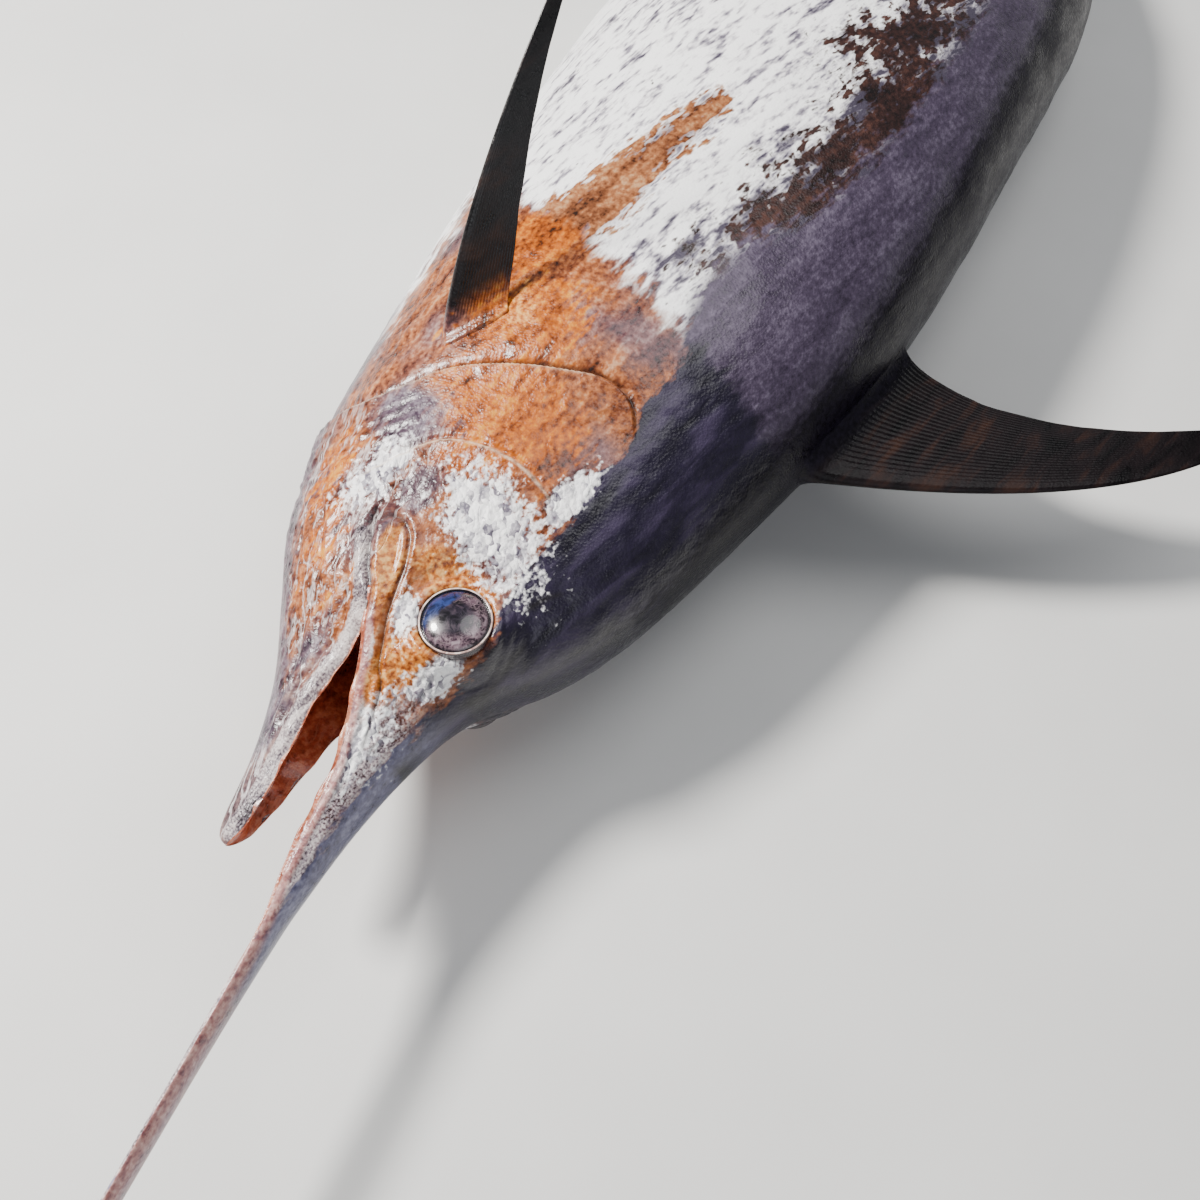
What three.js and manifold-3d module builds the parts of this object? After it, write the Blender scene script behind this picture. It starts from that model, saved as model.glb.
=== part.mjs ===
import * as THREE from "three";
import { mergeVertices } from "three/addons/utils/BufferGeometryUtils.js";
import Module from "manifold-3d";

// A life-size swordfish lying on its left side, right flank up, with the mouth partly open.
// All shapes are first made in the fish's own terms, in millimetres:
//   along  distance behind the centre of the eye
//   back   distance above the level of the eye, towards the back of the fish
//   side   distance from the middle plane, towards the right flank
// layDown() then turns these into the frame of the part: head to -X, back to -Y, right flank up.

const wasm = await Module();
wasm.setup();

// Driving sizes
const LENGTH = 2600; // closed lower jaw tip to tail fork
const JAW_TO_EYE = 297; // closed lower jaw tip to centre of eye
const BILL_LENGTH = 0.42 * LENGTH; // part of the bill ahead of the lower jaw
const EYE_ACROSS = 76; // with the rim it fills 78 mm
const GAP = 0.3; // between nodes that touch
const BEYOND = 600; // past every side of the body, for cutting plates
const MOUTH_CORNER = -8;
const FORK = LENGTH - JAW_TO_EYE;
const BILL_TIP = -JAW_TO_EYE - BILL_LENGTH;
const atShare = (share) => share * LENGTH - JAW_TO_EYE; // a share of the length, counted from the lower jaw

// How the body lies
const FLANK_HEIGHT = 190; // of the middle plane; less than half the body's width, so the flank presses flat
const STEM_HEIGHT = 70; // the same at the tail stem, which droops until its keel touches
const DROOP_FROM = 880;
const DROOP_TO = FORK - 150;

// Where the body is parted
const BILL_END = -292;
const TRUNK_MIDDLE = 1150;
const STEM_START = FORK - 423;
const STEM_END = FORK - 38;

// Smooth curve through points, with no overshoot
function smoothLine(points) {
  const slopes = points.slice(1).map((p, i) => (p[1] - points[i][1]) / (p[0] - points[i][0]));
  const tangents = points.map((_, i) => {
    if (i === 0) return slopes[0];
    if (i === points.length - 1) return slopes[i - 1];
    const before = slopes[i - 1];
    const after = slopes[i];
    return before * after <= 0 ? 0 : (2 * before * after) / (before + after);
  });
  return (x) => {
    if (x <= points[0][0]) return points[0][1];
    const last = points.length - 1;
    if (x >= points[last][0]) return points[last][1];
    const i = points.findIndex((p) => p[0] > x) - 1;
    const width = points[i + 1][0] - points[i][0];
    const t = (x - points[i][0]) / width;
    const a = points[i][1];
    const b = points[i + 1][1];
    return (
      a * (1 + 2 * t) * (1 - t) ** 2 +
      b * t * t * (3 - 2 * t) +
      width * t * (1 - t) * (tangents[i] * (1 - t) - tangents[i + 1] * t)
    );
  };
}

const easeBetween = (from, to, x) => THREE.MathUtils.smoothstep(x, from, to);

// Lines of the body, [along, value]
const backLine = smoothLine([
  [BILL_TIP, 5],
  [-900, -9],
  [-600, -16],
  [-430, -19],
  [-340, -18],
  [-290, -14],
  [-233, -9],
  [-180, -1],
  [-136, 9],
  [-92, 22],
  [-54, 40],
  [-20, 64],
  [13, 92],
  [60, 124],
  [120, 153],
  [344, 226],
  [520, 270],
  [760, 297],
  [1000, 308],
  [1250, 316],
  [1400, 307],
  [FORK - 653, 232],
  [FORK - 453, 150],
  [FORK - 273, 90],
  [FORK - 153, 54],
  [FORK - 93, 45],
  [STEM_END, 47],
]);
// Ahead of the mouth corner the lower line is the underside of the bill and the upper jaw
const lowerLine = smoothLine([
  [BILL_TIP, -1],
  [-900, -19],
  [-600, -29],
  [-430, -35],
  [-340, -39],
  [-290, -44],
  [-233, -49],
  [-160, -54],
  [-60, -80],
  [-18, -102],
  [30, -205],
  [66, -262],
  [156, -285],
  [344, -303],
  [620, -320],
  [900, -324],
  [1150, -307],
  [1400, -262],
  [FORK - 653, -196],
  [FORK - 453, -136],
  [FORK - 303, -94],
  [FORK - 203, -66],
  [FORK - 123, -48],
  [STEM_END, -47],
]);
// The level where the body is widest, which is the edge of the upper jaw along the mouth
const widestLine = smoothLine([
  [BILL_TIP, 2],
  [-900, -14],
  [-600, -23],
  [-430, -27],
  [-340, -30],
  [-290, -36],
  [-243, -39],
  [-190, -40],
  [-161, -45],
  [-121, -55],
  [-72, -70],
  [-22, -89],
  [MOUTH_CORNER, -95],
  [60, -98],
  [150, -75],
  [250, -50],
  [344, -38],
  [500, -25],
  [760, -12],
  [1000, -11],
  [1250, -8],
  [1450, -2],
  [FORK - 653, 5],
  [FORK - 453, 2],
  [FORK - 273, -2],
  [STEM_END, 0],
]);
const halfWidth = smoothLine([
  [BILL_TIP, 6],
  [BILL_TIP + 60, 11],
  [-900, 18],
  [-600, 21],
  [-430, 23],
  [-340, 27],
  [-290, 32],
  [-233, 42],
  [-151, 60],
  [-54, 90],
  [0, 106],
  [120, 133],
  [250, 153],
  [344, 170],
  [520, 190],
  [760, 198],
  [950, 196],
  [1200, 178],
  [1450, 146],
  [FORK - 603, 108],
  [FORK - 403, 76],
  [FORK - 253, 53],
  [FORK - 153, 40],
  [STEM_END, 26],
]);
// Below 1 the section is boxier, above 1 it thins towards its sides
const upperFullness = smoothLine([
  [BILL_TIP, 1.3],
  [-420, 1.15],
  [-230, 1],
  [-60, 0.98],
  [20, 0.72],
  [90, 0.76],
  [300, 1],
]);
const lowerFullness = smoothLine([
  [BILL_TIP, 1.3],
  [-420, 1.15],
  [-250, 0.85],
  [-120, 0.8],
  [-20, 0.8],
  [90, 0.95],
  [300, 1],
]);
const KEEL = 34; // the flat keel on each side of the tail stem
const KEEL_SHARPNESS = 24;
const keelReach = (along) =>
  KEEL * easeBetween(FORK - 323, FORK - 163, along) * (1 - easeBetween(FORK - 118, FORK - 53, along));

// A solid from rows of points of equal length, closed by a fan at each end
function solidFromRings(rings) {
  const around = rings[0].length;
  const corners = rings.flat().map((p) => [p.x, p.y, p.z]);
  const centreOf = (ring) => ring.reduce((sum, p) => sum.add(p), new THREE.Vector3()).divideScalar(around);
  const first = centreOf(rings[0]);
  const last = centreOf(rings[rings.length - 1]);
  corners.push([first.x, first.y, first.z], [last.x, last.y, last.z]);
  const faces = [];
  for (let r = 0; r < rings.length - 1; r++) {
    for (let i = 0; i < around; i++) {
      const a = r * around + i;
      const b = r * around + ((i + 1) % around);
      faces.push(a, b, b + around, a, b + around, a + around);
    }
  }
  const start = rings.length * around;
  const end = (rings.length - 1) * around;
  for (let i = 0; i < around; i++) {
    const j = (i + 1) % around;
    faces.push(start, j, i, start + 1, end + i, end + j);
  }
  return solidFromFaces(corners.flat(), faces);
}

function solidFromFaces(positions, faces) {
  const geometry = new THREE.BufferGeometry();
  geometry.setAttribute("position", new THREE.Float32BufferAttribute(positions, 3));
  geometry.setIndex(faces);
  return solidFromGeometry(geometry);
}

function solidFromGeometry(geometry) {
  const bare = geometry.clone();
  bare.deleteAttribute("normal");
  bare.deleteAttribute("uv");
  const merged = mergeVertices(bare, 1e-4);
  const vertProperties = new Float32Array(merged.attributes.position.array);
  const build = (triVerts) => new wasm.Manifold(new wasm.Mesh({ numProp: 3, vertProperties, triVerts }));
  const triVerts = new Uint32Array(merged.index.array);
  const solid = build(triVerts);
  return solid.volume() > 0 ? solid : build(triVerts.reverse());
}

const largest = (solid) => solid.decompose().reduce((a, b) => (b.volume() > a.volume() ? b : a));

// A plate across the whole fish, from a closed outline in the side view
function plateAcross(outline, sideFrom, sideTo) {
  const geometry = new THREE.ExtrudeGeometry(new THREE.Shape(outline), {
    depth: sideTo - sideFrom,
    bevelEnabled: false,
  });
  return solidFromGeometry(geometry.translate(0, 0, sideFrom));
}

const outlineOf = (points) => points.map(([along, back]) => new THREE.Vector2(along, back));

// A smooth closed outline through [along, back] points, moved out by swell
function smoothOutline(points, swell = 0) {
  const loop = new THREE.CatmullRomCurve3(
    points.map(([along, back]) => new THREE.Vector3(along, back, 0)),
    true,
  );
  const ring = loop.getPoints(points.length * 3).slice(0, -1).map((p) => new THREE.Vector2(p.x, p.y));
  const turn = THREE.ShapeUtils.isClockWise(ring) ? -1 : 1;
  return ring.map((p, i) => {
    const next = ring[(i + 1) % ring.length];
    const previous = ring[(i + ring.length - 1) % ring.length];
    const edge = next.clone().sub(previous).normalize();
    return new THREE.Vector2(p.x + turn * edge.y * swell, p.y - turn * edge.x * swell);
  });
}

// Body

const BODY_AROUND = 32;
const ORBIT_FLAT = 46; // reach of the flat skin round the eye
const ORBIT_END = 78;
const ORBIT_SIDE = 98; // its distance from the middle plane
const FLANK_FROM = 40; // nearer the middle plane than this the skin isn't flattened
const FLANK_FULL = 85;

// One point of the body's surface, moved out by swell
function bodyPoint(along, angle, swell = 0) {
  const widest = widestLine(along);
  const rise = Math.sin(angle);
  const across = Math.cos(angle);
  const limit = rise >= 0 ? backLine(along) + swell : lowerLine(along) - swell;
  const fullness = rise >= 0 ? upperFullness(along) : lowerFullness(along);
  const back = widest + Math.abs(rise) ** Math.max(1, fullness) * (limit - widest);
  const width = (halfWidth(along) + swell) * Math.abs(across) ** Math.min(1, fullness);
  const keel = keelReach(along) * Math.abs(across) ** KEEL_SHARPNESS;
  const side = Math.sign(across) * (width + keel);
  return flattenOrbit(new THREE.Vector3(along, back, side), swell);
}

// Round the eye the skin is flat and faces straight sideways
function flattenOrbit(point, swell = 0) {
  const share = 1 - easeBetween(ORBIT_FLAT, ORBIT_END, Math.hypot(point.x, point.y));
  const onFlank = easeBetween(FLANK_FROM, FLANK_FULL, Math.abs(point.z));
  point.z = THREE.MathUtils.lerp(point.z, Math.sign(point.z) * (ORBIT_SIDE + swell), share * onFlank);
  return point;
}

// Distance from the middle plane to the flank at a point of the side view
function flankSide(along, back) {
  const widest = widestLine(along);
  const limit = back > widest ? backLine(along) : lowerLine(along);
  const fullness = back > widest ? upperFullness(along) : lowerFullness(along);
  const rise = THREE.MathUtils.clamp((back - widest) / (limit - widest), 0, 1);
  const angle = Math.asin(rise ** (1 / Math.max(1, fullness)));
  return bodyPoint(along, Math.sign(back - widest) * angle).z;
}

function spread(from, to, count) {
  return Array.from({ length: count + 1 }, (_, i) => from + ((to - from) * i) / count);
}

const BODY_STATIONS = [
  ...spread(BILL_TIP, BILL_TIP + 60, 3),
  ...spread(BILL_TIP + 60, BILL_END, 9).slice(1),
  ...spread(BILL_END, 380, 27).slice(1),
  ...spread(380, STEM_START, 24).slice(1),
  ...spread(STEM_START, STEM_END, 12).slice(1),
];

function bodySolid(stations, swell = 0) {
  const rings = stations.map((along) =>
    spread(0, 2 * Math.PI, BODY_AROUND).slice(1).map((angle) => bodyPoint(along, angle, swell)),
  );
  return solidFromRings(rings);
}

const body = bodySolid(BODY_STATIONS);
const bodyWithGap = bodySolid(BODY_STATIONS, GAP);

// Lower jaw, in its opened place

const JAW_TIP = -289;
const JAW_REAR = 84;
const jawTopLine = smoothLine([
  [JAW_TIP, -115],
  [-264, -105],
  [-209, -102],
  [-135, -101],
  [-100, -95],
  [-65, -89],
  [-34, -90],
  [MOUTH_CORNER, -98],
  [JAW_REAR, -150],
]);
const jawBottomLine = smoothLine([
  [JAW_TIP, -130],
  [-270, -134],
  [-200, -144],
  [-131, -163],
  [-33, -213],
  [40, -252],
  [JAW_REAR, -262],
]);
const jawHalfWidth = smoothLine([
  [JAW_TIP, 6],
  [-262, 15],
  [-198, 32],
  [-110, 58],
  [-60, 76],
  [MOUTH_CORNER, 92],
  [JAW_REAR, 108],
]);

const JAW_WALL = 11;
const TROUGH_DEPTH = 0.42; // as a share of the jaw's height
const JAW_WIDEST = 0.7; // the widest level, as a share of the jaw's height
const JAW_TOP_FULLNESS = 0.25; // nearly flat on top
const JAW_BOTTOM_FULLNESS = 0.95;

function jawPoint(along, angle) {
  const top = jawTopLine(along);
  const bottom = jawBottomLine(along);
  const rise = Math.sin(angle);
  const across = Math.cos(angle);
  const fullness = rise >= 0 ? JAW_TOP_FULLNESS : JAW_BOTTOM_FULLNESS;
  const widest = bottom + (top - bottom) * JAW_WIDEST;
  const back = widest + (rise >= 0 ? rise * (top - widest) : rise * (widest - bottom));
  const side = Math.sign(across) * jawHalfWidth(along) * Math.abs(across) ** fullness;
  return new THREE.Vector3(along, back, side);
}

// The hollow between the two sides of the lower jaw
function jawTrough() {
  const rings = spread(JAW_TIP + 30, MOUTH_CORNER + 14, 9).map((along) =>
    spread(0, 2 * Math.PI, 16).slice(1).map((angle) => {
      const half = Math.max(3, jawHalfWidth(along) - JAW_WALL);
      const top = jawTopLine(along);
      const deep = TROUGH_DEPTH * (top - jawBottomLine(along));
      return new THREE.Vector3(along, top + deep * Math.sin(angle), half * Math.cos(angle));
    }),
  );
  return solidFromRings(rings);
}

function lowerJaw() {
  const rings = spread(JAW_TIP, JAW_REAR, 15).map((along) =>
    spread(0, 2 * Math.PI, 24).slice(1).map((angle) => jawPoint(along, angle)),
  );
  let jaw = solidFromRings(rings).subtract(jawTrough()).subtract(bodyWithGap);
  for (const sideSign of [1, -1]) {
    jaw = jaw.subtract(upperLip(sideSign, 2 * GAP)).subtract(gillCover(sideSign, GAP));
  }
  return largest(jaw);
}

// Eyes

const EYE_DOME = 15; // front of the eye ahead of its widest ring
const EYE_BACK = 52;
const EYE_SUNK = 5; // widest ring below the skin

function eyeSolid(sideSign, swell = 0) {
  const radius = EYE_ACROSS / 2 + 1 + swell;
  const profile = [];
  for (const turn of spread(-Math.PI / 2, Math.PI / 2, 10)) {
    const depth = turn < 0 ? EYE_BACK : EYE_DOME;
    profile.push(new THREE.Vector2(radius * Math.cos(turn), (depth + swell) * Math.sin(turn)));
  }
  profile[0].x = 0;
  profile[profile.length - 1].x = 0;
  const eye = new THREE.LatheGeometry(profile, 18);
  eye.rotateX((sideSign * Math.PI) / 2);
  eye.translate(0, 0, sideSign * (flankSide(0, 0) - EYE_SUNK));
  return solidFromGeometry(eye);
}

// The ring of skin round the eye
function eyeRim(sideSign) {
  const ring = new THREE.TorusGeometry(EYE_ACROSS / 2 + 1, 3, 6, 24);
  ring.translate(0, 0, sideSign * (flankSide(0, 0) - 1));
  return solidFromGeometry(ring);
}

// Gill covers

const COVER_THICK = 13;
const COVER_RAISE = 3;
const THROAT_HALF = 12; // the gill covers end this far from the middle of the throat
const COVER_OUTLINE = [
  [176, 30],
  [190, -40],
  [180, -100],
  [130, -150],
  [86, -205],
  [74, -262],
  [110, -330],
  [180, -330],
  [212, -250],
  [228, -188],
  [258, -112],
  [294, -45],
  [320, 14],
  [314, 60],
  [278, 90],
  [220, 84],
];

function coverShell(swell) {
  const stations = spread(20, 400, 14);
  const outer = bodySolid(stations, COVER_RAISE + swell);
  const inner = bodySolid(stations, -COVER_THICK - swell);
  return outer.subtract(inner);
}

function gillCover(sideSign, swell = 0) {
  const inner = THROAT_HALF - swell;
  const sides = sideSign > 0 ? [inner, BEYOND] : [-BEYOND, -inner];
  const plate = plateAcross(smoothOutline(COVER_OUTLINE, swell), sides[0], sides[1]);
  return largest(coverShell(swell).intersect(plate));
}

// Head and bill

const HEAD_REAR = [
  [BILL_END - 60, BEYOND],
  [320, BEYOND],
  [312, 300],
  [296, 120],
  [296, 60],
  [304, 14],
  [278, -45],
  [243, -112],
  [214, -188],
  [196, -260],
  [186, -330],
  [180, -BEYOND],
  [BILL_END - 60, -BEYOND],
];

function headRegion(shift) {
  const outline = HEAD_REAR.map(([along, back]) => [along + shift, back]);
  return plateAcross(outlineOf(outline), -BEYOND, BEYOND);
}

const NOSTRILS = [
  [-65, 4],
  [-78, 0],
];
const NOSTRIL_RADII = [5, 3, 8];

function nostril([along, back], sideSign) {
  const pit = new THREE.SphereGeometry(1, 8, 6);
  pit.scale(...NOSTRIL_RADII);
  pit.translate(along, back, sideSign * flankSide(along, back));
  return solidFromGeometry(pit);
}

// A rounded bar laid on the flank along [along, back] points, with a radius at each
function barOnFlank(points, sideSign, sunk, steps, swell = 0) {
  const path = new THREE.CatmullRomCurve3(
    points.map(([along, back]) => new THREE.Vector3(along, back, sideSign * (flankSide(along, back) - sunk))),
  );
  const radiusAt = smoothLine(points.map((p, i) => [i / (points.length - 1), p[2] + swell]));
  const rings = spread(0, 1, steps).map((t) => {
    const centre = path.getPoint(t);
    const forward = path.getTangent(t);
    const out = new THREE.Vector3(0, 0, 1).cross(forward).normalize();
    const up = new THREE.Vector3().crossVectors(forward, out);
    return spread(0, 2 * Math.PI, 6).slice(1).map((angle) =>
      centre
        .clone()
        .addScaledVector(out, radiusAt(t) * Math.cos(angle))
        .addScaledVector(up, radiusAt(t) * Math.sin(angle)),
    );
  });
  return solidFromRings(rings);
}

// Upper lip and the bar of the upper jaw that ends below and behind the eye
const UPPER_LIP = [
  [-262, -36, 3],
  [-200, -38, 4],
  [-141, -48, 5],
  [-60, -70, 7],
  [-10, -90, 9],
  [38, -112, 12],
  [70, -126, 9],
  [80, -130, 4],
];

const LIP_SUNK = 3;
const LIP_STEPS = 14;
const upperLip = (sideSign, swell = 0) => barOnFlank(UPPER_LIP, sideSign, LIP_SUNK, LIP_STEPS, swell);

function headSolid() {
  let head = body.intersect(headRegion(0)).subtract(behind(BILL_END + GAP, true));
  for (const sideSign of [1, -1]) {
    head = head.add(eyeRim(sideSign)).add(upperLip(sideSign));
    head = head.subtract(eyeSolid(sideSign, GAP));
    head = head.subtract(gillCover(sideSign, GAP));
    for (const place of NOSTRILS) head = head.subtract(nostril(place, sideSign));
  }
  return largest(head);
}

// Everything ahead of a plane across the fish, or behind it
function behind(along, ahead) {
  const length = 2 * LENGTH;
  const box = new THREE.BoxGeometry(length, length, length);
  box.translate(along + (ahead ? -length / 2 : length / 2), 0, 0);
  return solidFromGeometry(box);
}

const billSolid = () => largest(body.intersect(behind(BILL_END, true)));

// Trunk and tail stem

function trunkFront() {
  const cut = body.subtract(headRegion(GAP)).subtract(behind(TRUNK_MIDDLE, false));
  return largest(cut.subtract(gillCover(1, GAP)).subtract(gillCover(-1, GAP)));
}

const trunkRear = () =>
  largest(body.subtract(behind(TRUNK_MIDDLE + GAP, true)).subtract(behind(STEM_START, false)));

const tailStem = () => largest(body.subtract(behind(STEM_START + GAP, true)));

// Fins

// The fleshy part of a fin's section, thickest near its leading edge
const foil = (u) => Math.sqrt(Math.sin(Math.PI * (0.04 + 0.94 * u ** 0.6)));

// A fin between a leading and a trailing edge that meet near the tip. Both faces have the same triangles,
// and every second line of points is a ray that stands up from the membrane.
function finSolid({ leading, trailing, rays, rows, rootThick, edgeThick, rayRaise, normalAt }) {
  const columns = 2 * rays;
  const faces = [1, -1].map((face) =>
    spread(0, 1, rows).map((v) => {
      const front = leading.getPoint(v);
      const rear = trailing.getPoint(v);
      return spread(0, 1, columns).map((u, column) => {
        const ray = column % 2 === 1 ? rayRaise * (1 - 0.6 * v) : 0;
        const half = edgeThick / 2 + (rootThick / 2) * foil(u) * (1 - v) ** 1.2 + ray;
        return front.clone().lerp(rear, u).addScaledVector(normalAt(u, v), face * half);
      });
    }),
  );
  const positions = faces.flat(2).map((p) => [p.x, p.y, p.z]).flat();
  const width = columns + 1;
  const other = (rows + 1) * width;
  const triangles = [];
  const quad = (a, b, c, d) => triangles.push(a, b, c, a, c, d);
  for (let r = 0; r < rows; r++) {
    for (let c = 0; c < columns; c++) {
      const a = r * width + c;
      triangles.push(a, a + 1, a + width + 1, a, a + width + 1, a + width);
      triangles.push(other + a, other + a + width + 1, other + a + 1);
      triangles.push(other + a, other + a + width, other + a + width + 1);
    }
    const left = r * width;
    const right = left + columns;
    quad(left, left + width, other + left + width, other + left);
    quad(right, other + right, other + right + width, right + width);
  }
  for (let c = 0; c < columns; c++) {
    const top = rows * width + c;
    quad(c, other + c, other + c + 1, c + 1);
    quad(top, top + 1, other + top + 1, other + top);
  }
  return solidFromFaces(positions, triangles);
}

const alongPoint = (along, back, side = 0) => new THREE.Vector3(along, back, side);
const bezier = (...points) => new THREE.CubicBezierCurve3(...points);
const outOfPlane = () => new THREE.Vector3(0, 0, 1);

// A fin on the middle line. upright is 1 on the back and -1 on the belly.
function medianFin({ start, base, height, sweep, upright, line, sink, rays, rows, rootThick }) {
  const root = (along) => line(along) - upright * sink;
  const tip = alongPoint(start + sweep, line(start) + upright * height);
  const edge = (share, rise) => alongPoint(start + share * sweep, line(start) + upright * rise * height);
  const leading = bezier(alongPoint(start, root(start)), edge(0.22, 0.42), edge(0.52, 0.84), tip);
  const heel = alongPoint(start + base, root(start + base));
  const inner = alongPoint(start + 0.62 * base, line(start + base) + upright * 0.1 * height);
  const trailing = bezier(heel, inner, edge(0.66, 0.66), tip.clone().add(alongPoint(7, -upright * 9)));
  const thickness = { rootThick, edgeThick: 1.2, rayRaise: 1 };
  return finSolid({ leading, trailing, rays, rows, ...thickness, normalAt: outOfPlane });
}

const fromBody = (fin) => largest(fin.subtract(bodyWithGap));

const firstDorsal = () =>
  fromBody(
    medianFin({
      start: atShare(0.257),
      base: 0.105 * LENGTH,
      height: 0.185 * LENGTH,
      sweep: 330,
      upright: 1,
      line: backLine,
      sink: 34,
      rays: 9,
      rows: 10,
      rootThick: 22,
    }),
  );

const firstAnal = () =>
  fromBody(
    medianFin({
      start: atShare(0.635),
      base: 0.085 * LENGTH,
      height: 0.095 * LENGTH,
      sweep: 205,
      upright: -1,
      line: lowerLine,
      sink: 24,
      rays: 7,
      rows: 8,
      rootThick: 14,
    }),
  );

const secondDorsal = () =>
  fromBody(
    medianFin({
      start: atShare(0.84),
      base: 52,
      height: 50,
      sweep: 84,
      upright: 1,
      line: backLine,
      sink: 22,
      rays: 3,
      rows: 5,
      rootThick: 6,
    }),
  );

const secondAnal = () =>
  fromBody(
    medianFin({
      start: atShare(0.825),
      base: 56,
      height: 56,
      sweep: 92,
      upright: -1,
      line: lowerLine,
      sink: 22,
      rays: 3,
      rows: 5,
      rootThick: 6,
    }),
  );

const TAIL_SPAN = 0.4 * LENGTH;
const TAIL_TIP = FORK + 232;

function tailLobe(upright) {
  const leading = bezier(
    alongPoint(FORK - 111, upright * 14),
    alongPoint(FORK - 53, upright * 0.17 * TAIL_SPAN),
    alongPoint(FORK + 59, upright * 0.37 * TAIL_SPAN),
    alongPoint(TAIL_TIP, upright * 0.5 * TAIL_SPAN),
  );
  const trailing = bezier(
    alongPoint(FORK, upright * GAP * 0.5),
    alongPoint(FORK + 6, upright * 0.13 * TAIL_SPAN),
    alongPoint(FORK + 87, upright * 0.33 * TAIL_SPAN),
    alongPoint(TAIL_TIP + 6, upright * (0.5 * TAIL_SPAN - 9)),
  );
  const lobe = finSolid({
    leading,
    trailing,
    rays: 8,
    rows: 11,
    rootThick: 26,
    edgeThick: 1.6,
    rayRaise: 1.1,
    normalAt: outOfPlane,
  });
  const otherHalf = new THREE.BoxGeometry(1000, 400, 400).translate(FORK, upright * (GAP / 2 - 200), 0);
  return fromBody(lobe.subtract(solidFromGeometry(otherHalf)));
}

// Pectoral fins

const PECTORAL_FRONT = [280, -178];
const PECTORAL_REAR = [334, -124];
const PECTORAL_SINK = 22;

// reach holds the bends of both edges as [along, back, outwards] from the front of the root
function pectoral(sideSign, reach) {
  const rootSide = (along, back) => sideSign * (flankSide(along, back) - PECTORAL_SINK);
  const root = ([along, back]) => alongPoint(along, back, rootSide(along, back));
  const front = root(PECTORAL_FRONT);
  const place = ([along, back, outwards]) => front.clone().add(alongPoint(along, back, sideSign * outwards));
  const leading = bezier(front, place(reach.leading[0]), place(reach.leading[1]), place(reach.tip));
  const trailing = bezier(
    root(PECTORAL_REAR),
    place(reach.trailing[0]),
    place(reach.trailing[1]),
    place(reach.tip).add(alongPoint(6, 12)),
  );
  const normalAt = (u, v) => {
    const chord = trailing.getPoint(v).sub(leading.getPoint(v)).normalize();
    const span = leading.getTangent(Math.min(v, 0.98));
    return span.cross(chord).normalize();
  };
  const fin = finSolid({
    leading,
    trailing,
    rays: 7,
    rows: 11,
    rootThick: 14,
    edgeThick: 1.4,
    rayRaise: 0.9,
    normalAt,
  });
  return fromBody(fin);
}

// The right fin stands up from the flank and curves back
const RIGHT_REACH = {
  leading: [
    [65, -10, 115],
    [170, 16, 255],
  ],
  trailing: [
    [112, 50, 90],
    [192, 22, 235],
  ],
  tip: [300, 18, 320],
};
// The left fin is folded back into the space between the belly and the floor
const LEFT_REACH = {
  leading: [
    [60, -55, 52],
    [220, -110, 62],
  ],
  trailing: [
    [105, -25, 57],
    [250, -62, 62],
  ],
  tip: [405, -95, 60],
};

// From the fish's own terms to the part's frame, in the pose of a fish laid on a floor
function layDown(solid) {
  const mesh = solid.getMesh();
  const stride = mesh.numProp;
  const positions = new Float32Array(mesh.numVert * 3);
  for (let i = 0; i < mesh.numVert; i++) {
    const [along, back, side] = mesh.vertProperties.subarray(i * stride, i * stride + 3);
    const droop = easeBetween(DROOP_FROM, DROOP_TO, along);
    const middle = THREE.MathUtils.lerp(FLANK_HEIGHT, STEM_HEIGHT, droop);
    positions.set([along, -back, Math.max(0, side + middle)], i * 3);
  }
  const geometry = new THREE.BufferGeometry();
  geometry.setAttribute("position", new THREE.BufferAttribute(positions, 3));
  geometry.setIndex([...mesh.triVerts].reverse()); // the step to -Y turns each face round
  geometry.computeVertexNormals();
  return geometry;
}

// Materials

const skin = (color, roughness) => new THREE.MeshStandardMaterial({ color, roughness, metalness: 0.1 });
const bronze = skin("#a4714b", 0.4);
const silver = skin("#b9b4ae", 0.35);
const darkBack = skin("#3d3440", 0.4);
const finSkin = skin("#2b2226", 0.45);
const billSkin = skin("#5c5360", 0.5);
const eyeGlass = skin("#221a2e", 0.08);

const swordfish = new THREE.Group();

function addNode(name, solid, material) {
  const mesh = new THREE.Mesh(layDown(solid), material);
  mesh.name = name;
  swordfish.add(mesh);
}

addNode("bill", billSolid(), billSkin);
addNode("head", headSolid(), bronze);
addNode("lower_jaw", lowerJaw(), bronze);
addNode("eye_right", eyeSolid(1), eyeGlass);
addNode("eye_left", eyeSolid(-1), eyeGlass);
addNode("gill_cover_right", gillCover(1), bronze);
addNode("gill_cover_left", gillCover(-1), bronze);
addNode("trunk_front", trunkFront(), silver);
addNode("trunk_rear", trunkRear(), silver);
addNode("tail_stem", tailStem(), darkBack);
addNode("first_dorsal_fin", firstDorsal(), finSkin);
addNode("second_dorsal_fin", secondDorsal(), finSkin);
addNode("first_anal_fin", firstAnal(), finSkin);
addNode("second_anal_fin", secondAnal(), finSkin);
addNode("pectoral_fin_right", pectoral(1, RIGHT_REACH), finSkin);
addNode("pectoral_fin_left", pectoral(-1, LEFT_REACH), finSkin);
addNode("tail_lobe_upper", tailLobe(1), finSkin);
addNode("tail_lobe_lower", tailLobe(-1), finSkin);

// The part's origin is the middle of its box, on the floor
const box = new THREE.Box3().setFromObject(swordfish);
const centre = box.getCenter(new THREE.Vector3());
swordfish.position.set(-centre.x, -centre.y, -box.min.z);

export default swordfish;
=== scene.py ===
import math

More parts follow.
